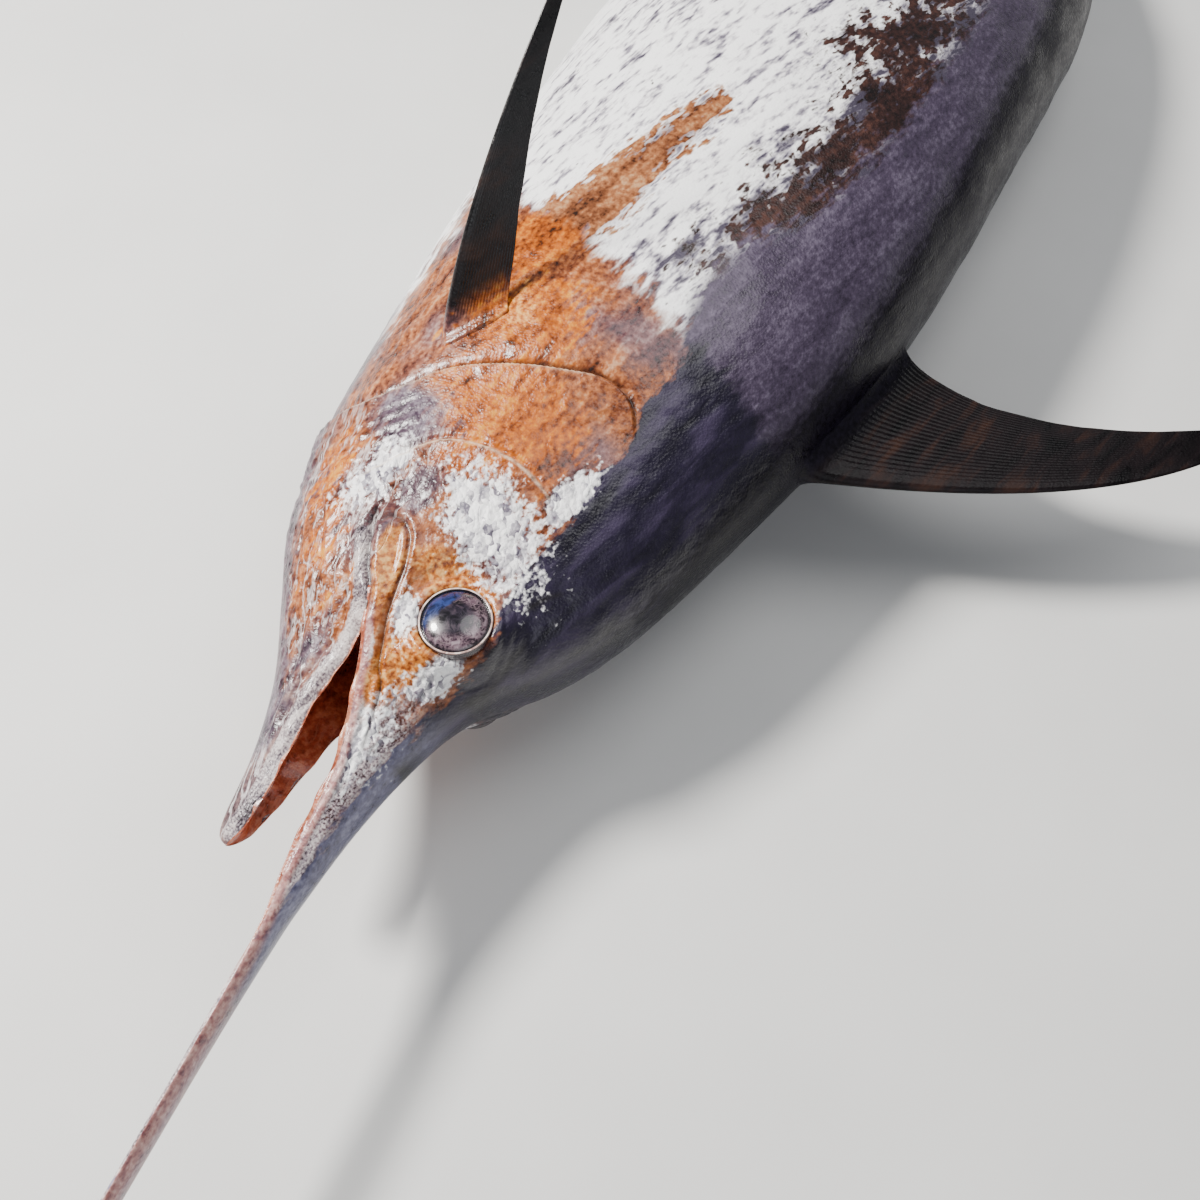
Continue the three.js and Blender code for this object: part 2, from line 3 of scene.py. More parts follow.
import bpy
import numpy as np
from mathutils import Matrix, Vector


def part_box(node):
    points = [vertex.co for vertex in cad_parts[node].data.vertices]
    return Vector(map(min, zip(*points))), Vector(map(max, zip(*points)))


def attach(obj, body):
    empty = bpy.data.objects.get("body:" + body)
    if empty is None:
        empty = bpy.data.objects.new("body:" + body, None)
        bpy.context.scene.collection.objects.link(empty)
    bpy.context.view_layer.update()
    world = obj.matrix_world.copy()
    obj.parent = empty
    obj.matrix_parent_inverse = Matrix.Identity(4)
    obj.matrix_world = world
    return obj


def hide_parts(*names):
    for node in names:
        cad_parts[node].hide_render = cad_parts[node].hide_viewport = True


# A life-size swordfish lying on its left side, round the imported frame.
# Shapes are made in the fish's own terms, in millimetres, as in the solids:
#   along  distance behind the centre of the eye
#   back   distance above the level of the eye, towards the back of the fish
#   side   distance from the middle plane, towards the right flank
# lay_down() turns them into the frame: head to -X, back to -Y, right flank up.

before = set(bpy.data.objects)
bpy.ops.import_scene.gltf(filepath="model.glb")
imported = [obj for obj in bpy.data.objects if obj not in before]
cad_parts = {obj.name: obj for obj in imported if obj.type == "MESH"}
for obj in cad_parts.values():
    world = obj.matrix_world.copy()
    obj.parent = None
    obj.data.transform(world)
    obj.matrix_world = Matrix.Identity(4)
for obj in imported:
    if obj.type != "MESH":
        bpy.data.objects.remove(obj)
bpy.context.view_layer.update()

METRE = 1000.0


def middle_of(node, axis):
    low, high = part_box(node)
    return (low[axis] + high[axis]) / 2


# Places taken from the frame
EYE_X = middle_of("eye_right", 0)
EYE_Y = middle_of("eye_right", 1)
FLANK_HEIGHT = METRE * (middle_of("eye_right", 2) + middle_of("eye_left", 2)) / 2
STEM_HEIGHT = METRE * middle_of("tail_lobe_upper", 2)
BILL_TIP = METRE * (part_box("bill")[0].x - EYE_X)
JAW_TIP = METRE * (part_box("lower_jaw")[0].x - EYE_X)
STEM_END = METRE * (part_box("tail_stem")[1].x - EYE_X)
EYE_RADIUS = METRE * (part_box("eye_right")[1].x - EYE_X)

# Places and lengths that shape the rest
FORK = STEM_END + 38
JAW_TO_EYE = 297  # with the mouth closed
LENGTH = FORK + JAW_TO_EYE
DROOP_FROM = 880
DROOP_TO = FORK - 150
MOUTH_CORNER = -8
POCKET_END = 60  # the mouth's cavity ends here


def at_share(share):
    """A share of the length from the closed lower jaw to the fork, as a place along."""
    return share * LENGTH - JAW_TO_EYE


# Curves and fields

def smooth_line(points):
    """Smooth curve through [along, value] points, with no overshoot."""
    xs, ys = np.array(points, dtype=float).T
    slopes = np.diff(ys) / np.diff(xs)
    before, after = slopes[:-1], slopes[1:]
    same_way = before * after > 0
    total = np.where(same_way, before + after, 1)
    inner = np.where(same_way, 2 * before * after / total, 0)
    tangents = np.concatenate([slopes[:1], inner, slopes[-1:]])

    def line(x):
        x = np.clip(x, xs[0], xs[-1])
        i = np.clip(np.searchsorted(xs, x, side="right") - 1, 0, len(xs) - 2)
        width = xs[i + 1] - xs[i]
        t = (x - xs[i]) / width
        rest = 1 - t
        values = ys[i] * (1 + 2 * t) * rest**2 + ys[i + 1] * t * t * (3 - 2 * t)
        return values + width * t * rest * (tangents[i] * rest - tangents[i + 1] * t)

    return line


def ease(low, high, x):
    """0 below low, 1 above high, smooth between."""
    t = np.clip((x - low) / (high - low), 0, 1)
    return t * t * (3 - 2 * t)


def fall(low, high, x):
    """1 below low, 0 above high, smooth between."""
    return 1 - ease(low, high, x)


def within(start, full, fading, end, x):
    """1 from full to fading, and 0 before start and after end."""
    return ease(start, full, x) * fall(fading, end, x)


def ramp(x, width):
    """A straight rise from 0 to 1 over a width, 0.5 at x = 0."""
    return np.clip(0.5 + x / width, 0, 1)


def mix(a, b, share):
    return a + (b - a) * share


def unit(vectors):
    return vectors / np.maximum(np.linalg.norm(vectors, axis=-1, keepdims=True), 1e-12)


def hump(x, width):
    """1 at x = 0, falling smoothly to nothing about two widths away."""
    return np.exp(-((x / width) ** 2))


# Large numbers that scatter the heights of lumps, for along, back, side and seed
SCATTER = (73856093, 19349663, 83492791, 2654435)


def lumps(places, size, seed):
    """Smooth field between -1 and 1 with lumps about size across."""
    cell = places / size + 17.3 * seed
    base = np.floor(cell).astype(np.int64)
    share = cell - base
    share = share * share * (3 - 2 * share)
    total = np.zeros(len(places))
    for corner in range(8):
        step = np.array([corner & 1, corner >> 1 & 1, corner >> 2 & 1])
        x, y, z = (base + step).T
        mixed = (x * SCATTER[0] ^ y * SCATTER[1] ^ z * SCATTER[2] ^ seed * SCATTER[3]) & 0xFFFFFF
        mixed = (mixed * (mixed * mixed * 15731 + 789221) + 1376312589) & 0x7FFFFFFF
        weight = np.prod(np.where(step, share, 1 - share), axis=1)
        total += weight * (1 - mixed / 0x3FFFFFFF)
    return total


def rough_field(places, size, seed, octaves=3):
    """Lumps of several sizes, each half the last."""
    total = np.zeros(len(places))
    for octave in range(octaves):
        total += lumps(places, size / 2**octave, seed + octave) / 2**octave
    return total


CURVE_SAMPLES = 220
BATCH = 20000  # points worked on at a time


def curve_samples(points):
    """Evenly spaced points on a smooth curve through [along, back] points, and its directions."""
    points = np.array(points, dtype=float)
    padded = np.vstack([2 * points[0] - points[1], points, 2 * points[-1] - points[-2]])
    dense = np.linspace(0, len(points) - 1 - 1e-9, 4 * CURVE_SAMPLES)
    i = dense.astype(int)
    t = (dense - i)[:, None]
    p0, p1, p2, p3 = (padded[i + k] for k in range(4))
    bend = 2 * p1 + (p2 - p0) * t
    bend += (2 * p0 - 5 * p1 + 4 * p2 - p3) * t**2 + (3 * p1 - p0 - 3 * p2 + p3) * t**3
    places = bend / 2
    lengths = np.concatenate([[0], np.cumsum(np.linalg.norm(np.diff(places, axis=0), axis=1))])
    even = np.linspace(0, lengths[-1], CURVE_SAMPLES)
    samples = np.column_stack([np.interp(even, lengths, places[:, k]) for k in range(2)])
    return samples, unit(np.gradient(samples, axis=0))


class FlankCurve:
    """Where points of the flank stand against a curve drawn on it in the side view."""

    def __init__(self, flat, curve, reach):
        samples, directions = curve_samples(curve)
        low, high = samples.min(axis=0) - reach, samples.max(axis=0) + reach
        self.size = len(flat)
        near = np.all((flat > low) & (flat < high), axis=1)
        self.chosen = np.flatnonzero(near)
        self.across, self.away, self.share = np.empty((3, len(self.chosen)))
        for start in range(0, len(self.chosen), BATCH):
            part = slice(start, start + BATCH)
            gaps = flat[self.chosen[part], None] - samples[None]
            squares = np.einsum("ijk,ijk->ij", gaps, gaps)
            nearest = squares.argmin(axis=1)
            rows = np.arange(len(nearest))
            gap = gaps[rows, nearest]
            heading = directions[nearest]
            ahead = np.abs(np.einsum("ij,ij->i", gap, heading))
            across = heading[:, 0] * gap[:, 1] - heading[:, 1] * gap[:, 0]
            at_end = (nearest == 0) | (nearest == len(samples) - 1)
            self.across[part] = across
            self.away[part] = np.hypot(across, np.where(at_end, ahead, 0))
            self.share[part] = nearest / (len(samples) - 1)

    def spread(self, values):
        """Values at the near points, and 0 elsewhere."""
        whole = np.zeros(self.size)
        whole[self.chosen] = values
        return whole


# Lines of the body, [along, value]
back_line = smooth_line([
    [BILL_TIP, 5], [-900, -9], [-600, -16], [-430, -19], [-340, -18], [-290, -14], [-233, -9],
    [-180, -1], [-136, 9], [-92, 22], [-54, 40], [-20, 64], [13, 92], [60, 124], [120, 153],
    [344, 226], [520, 270], [760, 297], [1000, 308], [1250, 316], [1400, 307], [FORK - 653, 232],
    [FORK - 453, 150], [FORK - 273, 90], [FORK - 153, 54], [FORK - 93, 45], [STEM_END, 47],
])
half_width = smooth_line([
    [BILL_TIP, 6], [BILL_TIP + 60, 11], [-900, 18], [-600, 21], [-430, 23], [-340, 27], [-290, 32],
    [-233, 42], [-151, 60], [-54, 90], [0, 106], [120, 133], [250, 153], [344, 170], [520, 190],
    [760, 198], [950, 196], [1200, 178], [1450, 146], [FORK - 603, 108], [FORK - 403, 76],
    [FORK - 253, 53], [FORK - 153, 40], [STEM_END, 26],
])
# The underside of the bill and upper jaw
upper_edge = smooth_line([
    [BILL_TIP, -1], [-900, -19], [-600, -29], [-430, -35], [-340, -39], [-290, -44], [-233, -49],
    [-160, -54], [-60, -80], [MOUTH_CORNER, -97],
])
throat_line = smooth_line([
    [JAW_TIP, -130], [-270, -134], [-200, -144], [-131, -163], [-33, -213], [40, -252], [84, -266],
    [156, -285], [344, -303], [620, -320], [900, -324], [1150, -307], [1400, -262],
    [FORK - 653, -196], [FORK - 453, -136], [FORK - 303, -94], [FORK - 203, -66], [FORK - 123, -48],
    [STEM_END, -47],
])
# The level where the body is widest, which is the edge of the upper jaw along the mouth
widest_upper = smooth_line([
    [BILL_TIP, 2], [-900, -14], [-600, -23], [-430, -27], [-340, -30], [-290, -36], [-243, -39],
    [-190, -40], [-161, -45], [-121, -55], [-72, -70], [-22, -89], [MOUTH_CORNER, -95], [60, -98],
    [150, -75], [250, -50], [344, -38], [500, -25], [760, -12], [1000, -11], [1250, -8],
    [1450, -2], [FORK - 653, 5], [FORK - 453, 2], [FORK - 273, -2], [STEM_END, 0],
])
jaw_edge = smooth_line([
    [JAW_TIP, -116], [-264, -106], [-209, -102], [-135, -101], [-100, -95], [-65, -88], [-34, -89],
    [MOUTH_CORNER, -95],
])
jaw_half = smooth_line([
    [JAW_TIP, 6], [-262, 15], [-198, 32], [-110, 60], [-60, 80], [MOUTH_CORNER, half_width(MOUTH_CORNER)],
])
# Below 1 the section is boxier, above 1 it thins towards its sides
upper_fullness = smooth_line([
    [BILL_TIP, 1.3], [-420, 1.15], [-230, 1], [-60, 0.98], [20, 0.72], [90, 0.76], [300, 1],
])
lower_fullness = smooth_line([[JAW_TIP, 0.9], [-120, 0.85], [0, 0.9], [300, 1]])

# Round the eye the skin is flat and faces straight sideways
ORBIT_FLAT = 46
ORBIT_END = 78
ORBIT_SIDE = 98
FLANK_FROM = 40
FLANK_FULL = 85


def widest_lower(along):
    return np.where(along < MOUTH_CORNER, jaw_edge(along), widest_upper(along))


def lower_half_width(along):
    return np.where(along < MOUTH_CORNER, jaw_half(along), half_width(along))


def keel_reach(along):
    """How far the keels stand out from the sides of the tail stem."""
    return 34 * within(FORK - 323, FORK - 163, FORK - 118, FORK - 53, along)


def rounded_tip(along, tip, radius):
    """A factor for the sections near a tip that makes it round."""
    left = np.clip((along - tip) / radius, 0.004, 1)
    return np.sqrt(1 - (1 - left) ** 2)


def orbit_share(along, back):
    """1 round the eye, where the skin is flat, down to 0 farther off."""
    return fall(ORBIT_FLAT, ORBIT_END, np.hypot(along, back))


def flatten_orbit(points):
    """Brings the skin round each eye to one distance from the middle plane."""
    along, back, side = points[..., 0], points[..., 1], points[..., 2]
    share = orbit_share(along, back) * ease(FLANK_FROM, FLANK_FULL, np.abs(side))
    points[..., 2] = mix(side, np.sign(side) * ORBIT_SIDE, share)
    return points


def section(along, angle, edge, limit, half, fullness):
    """One arc of a section: from the right edge at angle 0 to the left edge at pi."""
    rise = np.sin(angle) ** np.maximum(1, fullness)
    across = np.cos(angle)
    width = half * np.abs(across) ** np.minimum(1, fullness)
    keel = keel_reach(along) * np.abs(across) ** 24
    points = np.stack([along + 0 * angle, edge + rise * (limit - edge), np.sign(across) * (width + keel)], -1)
    return flatten_orbit(points)


def upper_arc(along, angle):
    small = rounded_tip(along, BILL_TIP, 14)
    edge = widest_upper(along)
    top = edge + (back_line(along) - edge) * small
    return section(along, angle, edge, top, half_width(along) * small, upper_fullness(along))


def lower_arc(along, angle):
    small = rounded_tip(along, JAW_TIP, 12)
    edge = widest_lower(along)
    bottom = edge + (throat_line(along) - edge) * small
    half = lower_half_width(along) * small
    return section(along, angle, edge, bottom, half, lower_fullness(along))


def lip_bump(x, place):
    """1 at a place inside the edge, down to 0 at the edge itself."""
    return x / place * np.exp(1 - x / place)


def mouth_sheet(along, angle, level, half, pocket):
    """Points across the mouth's cavity, which draws in behind the corner of the mouth."""
    half = half * mix(1, 0.72, pocket) - 14 * ease(MOUTH_CORNER, 8, along)
    return np.stack([along + 0 * angle, level, half * np.cos(angle)], -1)


def roof_arc(along, angle):
    """The roof of the mouth, and ahead of it the underside of the bill."""
    small = rounded_tip(along, BILL_TIP, 14)
    x = np.sin(angle)
    inside = ease(-400, -250, along)
    pocket = ease(MOUTH_CORNER, POCKET_END, along)
    edge = widest_upper(along)
    drop = (edge - upper_edge(along)) * small
    arch = mix(0.42, 0.1, pocket) * half_width(along)
    bill = drop * x ** upper_fullness(along)
    mouth = 6 * lip_bump(x, 0.16) * (1 - pocket) - arch * ease(0.12, 0.95, x)
    return mouth_sheet(along, angle, edge - mix(bill, mouth, inside), half_width(along) * small, pocket)


def floor_arc(along, angle):
    """The floor of the mouth, between the two sides of the lower jaw."""
    small = rounded_tip(along, JAW_TIP, 12)
    x = np.sin(angle)
    pocket = ease(MOUTH_CORNER, POCKET_END, along)
    edge = widest_lower(along)
    deep = mix(0.56, 0.05, pocket) * (edge - throat_line(along)) * ease(JAW_TIP, -225, along)
    level = edge + 2 * lip_bump(x, 0.13) * (1 - pocket) * small - deep * ease(0.08, 0.8, x)
    return mouth_sheet(along, angle, level, lower_half_width(along) * small, pocket)


def bare_flank_side(along, back):
    """Distance from the middle plane to the flank at a point of the side view, without the orbit."""
    edge = widest_upper(along)
    limit = np.where(back > edge, back_line(along), throat_line(along))
    fullness = np.where(back > edge, upper_fullness(along), lower_fullness(along))
    rise = np.clip((back - edge) / (limit - edge), 0, 1) ** (1 / np.maximum(1, fullness))
    return half_width(along) * np.sqrt(1 - rise**2) ** np.minimum(1, fullness)


def flank_side(along, back):
    bare = bare_flank_side(along, back)
    return mix(bare, ORBIT_SIDE, orbit_share(along, back) * ease(FLANK_FROM, FLANK_FULL, bare))


# Mesh from grids

OUTSIDE, MOUTH, FIN = 0, 1, 2


class Surface:
    """Points and faces gathered grid by grid, with a place for each face corner on a flat map."""

    def __init__(self):
        self.points, self.kinds, self.heights = [], [], []
        self.faces, self.corners = [], []
        self.count = 0

    def add_points(self, points, kind, height=None):
        flat = points.reshape(-1, 3)
        self.points.append(flat)
        self.kinds.append(np.full(len(flat), kind))
        self.heights.append(np.zeros(len(flat)) if height is None else height.reshape(-1))
        index = np.arange(self.count, self.count + len(flat)).reshape(points.shape[:-1])
        self.count += len(flat)
        return index

    def add_grid(self, index, area):
        """Faces over a grid of points, which takes up area = (left, right, low, high) of the map."""
        rows, columns = index.shape
        left, right, low, high = area
        across = np.linspace(left, right, rows)[:, None] + np.zeros(columns)
        up = np.linspace(low, high, columns)[None] + np.zeros((rows, 1))
        place = np.stack([across, up], -1)
        for grid, store in ((index[..., None], self.faces), (place, self.corners)):
            store.append(np.stack([grid[:-1, :-1], grid[1:, :-1], grid[1:, 1:], grid[:-1, 1:]], 2))
        self.faces[-1] = self.faces[-1].reshape(-1, 4)
        self.corners[-1] = self.corners[-1].reshape(-1, 4, 2)

    def close(self, loop, area):
        """A cap over a closed loop of points, which runs so that the cap faces out."""
        flat = np.concatenate(self.points)
        kind = np.concatenate(self.kinds)[loop[0]]
        centre = self.add_points(flat[loop].mean(axis=0)[None], kind)[0]
        pairs = np.stack([loop, np.roll(loop, -1)], 1)
        # A triangle is kept as a quad whose last two corners are the same point
        middle = np.full(len(loop), centre)
        self.faces.append(np.column_stack([pairs[:, 0], pairs[:, 1], middle, middle]))
        place = np.array([np.mean(area[:2]), np.mean(area[2:])])
        self.corners.append(np.broadcast_to(place, (len(loop), 4, 2)).copy())

    def joined(self):
        stores = (self.points, self.kinds, self.heights, self.faces, self.corners)
        return [np.concatenate(store) for store in stores]


def stations():
    """Places along the body where its rings stand, closest together on the head."""
    coarse = 1
    breaks = [BILL_TIP, BILL_TIP + 20, -420, JAW_TIP, MOUTH_CORNER, POCKET_END, 400, 700, 1700, STEM_END]
    spacings = [2, 7, 2.5, 1.8, 1.8, 1.8, 3.2, 6.5, 4]
    places = []
    for low, high, spacing in zip(breaks, breaks[1:], spacings):
        count = max(2, round((high - low) / spacing / coarse))
        places.append(np.linspace(low, high, count + 1)[:-1])
    return np.concatenate([*places, [STEM_END]])


UPPER_COLUMNS = 290
LOWER_COLUMNS = 240
MOUTH_COLUMNS = 110


def share_edges(grid, other):
    """Gives a grid the two long edges of another, whose columns run the other way."""
    grid[:, 0] = other[:, -1]
    grid[:, -1] = other[:, 0]


def body_surface(surface):
    """The whole body with the mouth open, as one closed skin."""
    along = stations()[:, None]
    flat_along = along[:, 0]
    in_jaw = np.flatnonzero(flat_along >= JAW_TIP - 1e-6)
    in_roof = np.flatnonzero(flat_along <= POCKET_END + 1e-6)
    in_pocket = np.intersect1d(in_jaw, in_roof)
    corner = np.flatnonzero(np.abs(flat_along - MOUTH_CORNER) < 1e-6)[0]

    def grid(arc, rows, columns, reverse, kind):
        angles = np.linspace(0, math.pi, columns + 1)[None]
        points = arc(along[rows], angles[:, ::-1] if reverse else angles)
        return surface.add_points(points, kind)

    every = np.arange(len(along))
    upper = grid(upper_arc, every, UPPER_COLUMNS, False, OUTSIDE)
    lower = grid(lower_arc, in_jaw, LOWER_COLUMNS, True, OUTSIDE)
    roof = grid(roof_arc, in_roof, MOUTH_COLUMNS, True, MOUTH)
    floor = grid(floor_arc, in_pocket, MOUTH_COLUMNS, False, MOUTH)
    first = in_jaw[0]
    behind = corner + 1
    # Lower and upper skin share their edge from the corner of the mouth back
    share_edges(lower[corner - first :], upper[corner:])
    # The roof shares its edge with the upper skin up to there, the floor with the lower skin
    share_edges(roof[:behind], upper[:behind])
    share_edges(floor[: behind - first], lower[: behind - first])
    # Behind it roof and floor share their own edge, and they meet at the pocket's end
    share_edges(floor[behind - first :], roof[behind:])
    floor[-1] = roof[-1, ::-1]
    jaw_left = in_jaw[0] / len(along)
    surface.add_grid(upper, (0, 1, 0.58, 1))
    surface.add_grid(lower, (jaw_left, 1, 0.22, 0.56))
    surface.add_grid(roof, (0, in_roof[-1] / len(along), 0.12, 0.2))
    surface.add_grid(floor, (jaw_left, in_roof[-1] / len(along), 0.03, 0.11))
    surface.close(np.concatenate([upper[0], roof[0, 1:-1]])[::-1], (0, 0.001, 0.57, 0.571))
    surface.close(np.concatenate([floor[0], lower[0, 1:-1]])[::-1], (0.002, 0.003, 0.57, 0.571))
    surface.close(np.concatenate([upper[-1], lower[-1, 1:-1]]), (0.004, 0.005, 0.57, 0.571))


# Fins

def bezier(points):
    """A curve from the first of four points to the last, bent towards the two between."""
    p0, p1, p2, p3 = (np.array(p, dtype=float) for p in points)

    def at(t):
        t = np.asarray(t)[..., None]
        rest = 1 - t
        return p0 * rest**3 + 3 * p1 * rest**2 * t + 3 * p2 * rest * t**2 + p3 * t**3

    return at


def fin(surface, leading, trailing, rays, rows, root_thick, edge_thick, flare, height_of, flat, area, nicks):
    """A fin between two edges that meet near the tip, with a raised line for each ray."""
    coarse = 1
    rows //= coarse
    columns = rays * 6
    v = np.linspace(0, 1, rows + 1)[:, None]
    u = np.linspace(0, 1, columns + 1)[None]
    front, rear = leading(v[:, 0])[:, None], trailing(v[:, 0])[:, None]
    ragged = lumps(np.column_stack([v[:, 0] * 90, v[:, 0] * 0, v[:, 0] * 0]), 3, 5)
    notch = nicks * (0.5 + 0.5 * ragged[:, None]) * ease(0.7, 1, u) * ease(0.25, 0.4, v)
    share = (u * (1 - notch / 100))[..., None]
    sheet = front + (rear - front) * share
    if flat:
        normal = np.zeros_like(sheet) + np.array([0, 0, 1.0])
    else:
        chord = unit(rear - front)
        span = unit(np.gradient(front[:, 0], axis=0))[:, None]
        normal = unit(np.cross(span, chord)) + np.zeros_like(sheet)
    foil = np.sqrt(np.sin(np.pi * (0.04 + 0.94 * u**0.6)))
    nose, tail = (
        np.sqrt(1 - (1 - np.clip(share_in, 0, 1)) ** 2) for share_in in (u / 0.05, (1 - u) / 0.02)
    )
    ridge = np.abs(np.sin(np.pi * rays * u)) ** 0.7 - 0.5
    ray = 0.9 * ridge * ease(0.05, 0.2, u) * (1 - 0.65 * v)
    height = height_of(sheet)
    skirt = flare * np.exp(-np.maximum(height, -4) / (0.8 * flare))
    half = (edge_thick / 2 + root_thick / 2 * foil * (1 - v) ** 1.2 + skirt) * nose * tail
    half = np.maximum(half + ray * nose * tail * ease(0, 20, height), 0.02)
    one = sheet + normal * half[..., None]
    other = sheet - normal * half[..., None]
    ring = np.concatenate([one, other[:, ::-1]], axis=1)
    heights = np.concatenate([height, height[:, ::-1]], axis=1)
    index = surface.add_points(ring, FIN, np.maximum(heights, 0))
    index = np.concatenate([index, index[:, :1]], axis=1)
    surface.add_grid(index, area)
    surface.close(index[0, :-1][::-1], area)
    surface.close(index[-1, :-1], area)


def median_fin(surface, start, base, height, sweep, upright, line, sink, rays, rows, root_thick, area):
    """A fin on the middle line. upright is 1 on the back and -1 on the belly."""

    def edge(share, rise):
        return [start + share * sweep, line(start) + upright * rise * height, 0]

    tip = edge(1, 1)
    heel = start + base
    leading = bezier([[start, line(start) - upright * sink, 0], edge(0.22, 0.42), edge(0.52, 0.84), tip])
    inner = [start + 0.62 * base, line(heel) + upright * 0.1 * height, 0]
    last = [tip[0] + 7, tip[1] - upright * 9, 0]
    trailing = bezier([[heel, line(heel) - upright * sink, 0], inner, edge(0.66, 0.66), last])

    def height_of(sheet):
        return upright * (sheet[..., 1] - line(sheet[..., 0]))

    flare = 0.045 * base + 2
    fin(surface, leading, trailing, rays, rows, root_thick, 1.2, flare, height_of, True, area, 3)


TAIL_SPAN = 0.4 * LENGTH
TAIL_TIP = FORK + 232


def tail_lobe(surface, upright, area):
    leading = bezier([
        [FORK - 111, upright * 14, 0],
        [FORK - 53, upright * 0.17 * TAIL_SPAN, 0],
        [FORK + 59, upright * 0.37 * TAIL_SPAN, 0],
        [TAIL_TIP, upright * 0.5 * TAIL_SPAN, 0],
    ])
    trailing = bezier([
        [FORK, upright * -3, 0],
        [FORK + 6, upright * 0.13 * TAIL_SPAN, 0],
        [FORK + 87, upright * 0.33 * TAIL_SPAN, 0],
        [TAIL_TIP + 6, upright * (0.5 * TAIL_SPAN - 9), 0],
    ])

    def height_of(sheet):
        return np.abs(sheet[..., 1]) - 44 + np.maximum(0, sheet[..., 0] - FORK + 60)

    fin(surface, leading, trailing, 26, 150, 26, 1.6, 3, height_of, True, area, 2)


PECTORAL_FRONT = (280, -178)
PECTORAL_REAR = (334, -124)
PECTORAL_SINK = 22

# The bends of both edges as [along, back, outwards] from the front of the root
RIGHT_REACH = {
    "leading": [[65, -10, 115], [170, 16, 255]],
    "trailing": [[112, 50, 90], [192, 22, 235]],
    "tip": [300, 18, 320],
}
LEFT_REACH = {
    "leading": [[60, -55, 52], [220, -110, 62]],
    "trailing": [[105, -25, 57], [250, -62, 62]],
    "tip": [405, -95, 60],
}


def pectoral(surface, side_sign, reach, area):
    mirror = np.array([1, 1, side_sign])

    def root(place):
        along, back = place
        return np.array([along, back, side_sign * (float(flank_side(along, back)) - PECTORAL_SINK)])

    front = root(PECTORAL_FRONT)
    tip = front + np.array(reach["tip"]) * mirror
    leading = bezier([front, *(front + np.array(p) * mirror for p in reach["leading"]), tip])
    bends = [front + np.array(p) * mirror for p in reach["trailing"]]
    trailing = bezier([root(PECTORAL_REAR), *bends, tip + [6, 12, 0]])

    def height_of(sheet):
        return side_sign * sheet[..., 2] - flank_side(sheet[..., 0], sheet[..., 1])

    fin(surface, leading, trailing, 20, 160, 14, 1.4, 5, height_of, False, area, 4)


def fin_surfaces(surface):
    # Start, base, height, sweep, upright, line, sink, rays, rows, thickness at the root and place on the map
    median_fins = [
        (0.257, 0.105 * LENGTH, 0.185 * LENGTH, 330, 1, back_line, 34, 28, 150, 22, (0.5, 0.62, 0, 0.2)),
        (0.635, 0.085 * LENGTH, 0.095 * LENGTH, 205, -1, throat_line, 24, 18, 100, 14, (0.63, 0.7, 0, 0.2)),
        (0.84, 52, 50, 84, 1, back_line, 22, 8, 50, 6, (0.71, 0.73, 0, 0.09)),
        (0.825, 56, 56, 92, -1, throat_line, 22, 8, 50, 6, (0.71, 0.73, 0.1, 0.2)),
    ]
    for start, *measures in median_fins:
        median_fin(surface, at_share(start), *measures)
    tail_lobe(surface, 1, (0.74, 0.81, 0, 0.2))
    tail_lobe(surface, -1, (0.82, 0.88, 0, 0.2))
    pectoral(surface, 1, RIGHT_REACH, (0.89, 0.95, 0, 0.2))
    pectoral(surface, -1, LEFT_REACH, (0.955, 1, 0, 0.2))


# Lines drawn on the head, as [along, back]

COVER_MARGIN = [
    [120, -318], [150, -290], [176, -250], [196, -214], [221, -180], [247, -150], [266, -112], [281, -70],
    [293, -26], [303, 16], [296, 52], [266, 74], [228, 80],
]
INNER_COVER = [
    [100, -172], [134, -142], [156, -122], [168, -104], [176, -76], [178, -46], [175, -16], [166, 10],
    [157, 28],
]
UPPER_LIP = [
    [-290, -33], [-243, -36], [-190, -36], [-161, -41], [-121, -51], [-72, -66], [-22, -85], [10, -98],
    [38, -109], [64, -116],
]
CHEEK_GROOVE = [
    [-150, -28], [-94, -38], [-74, -50], [-52, -58], [-28, -66], [9, -72], [32, -76], [57, -85], [69, -99],
    [69, -112], [60, -120],
]
CORNER_FOLD = [[-30, -89], [MOUTH_CORNER, -97], [15, -113], [46, -126], [66, -131]]
JAW_LIP = [
    [-276, -117], [-240, -111], [-190, -110], [-130, -110], [-100, -105], [-60, -97], [-20, -102], [10, -117],
    [40, -134],
]
JAW_FOLD = [[-180, -132], [-110, -138], [-50, -150], [10, -168], [60, -196], [100, -240]]
THROAT_FOLD = [[-90, -168], [-20, -190], [40, -214], [84, -250], [110, -290]]
NOSTRILS = [(-65, 3), (-76, 0)]
NOSTRIL_RADII = (4, 2.4)


def raised_edge(across, height, length, low=-2.5, high=1.5):
    """A step up over a line, which sinks away over a length behind it."""
    return height * np.exp(-np.maximum(across, 0) / length) * ease(low, high, across)


def eye_relief(along, back, side):
    """The socket and the soft swellings and creases round it."""
    from_eye = np.hypot(along, back)
    turn = np.arctan2(back, along)
    wobble = 1.6 * np.sin(3 * turn + 1) + 1.1 * np.sin(5 * turn)
    socket = -24 * fall(34, 40.5, from_eye) * ease(40, 60, side)
    lid = 1.7 * hump(from_eye - 46, 5)
    crease = -0.9 * hump(from_eye - 53 - wobble, 1.8) - 0.7 * hump(from_eye - 61 + wobble, 1.7)
    return (socket + (lid + crease) * ease(30, 55, side)) * (from_eye < 110)


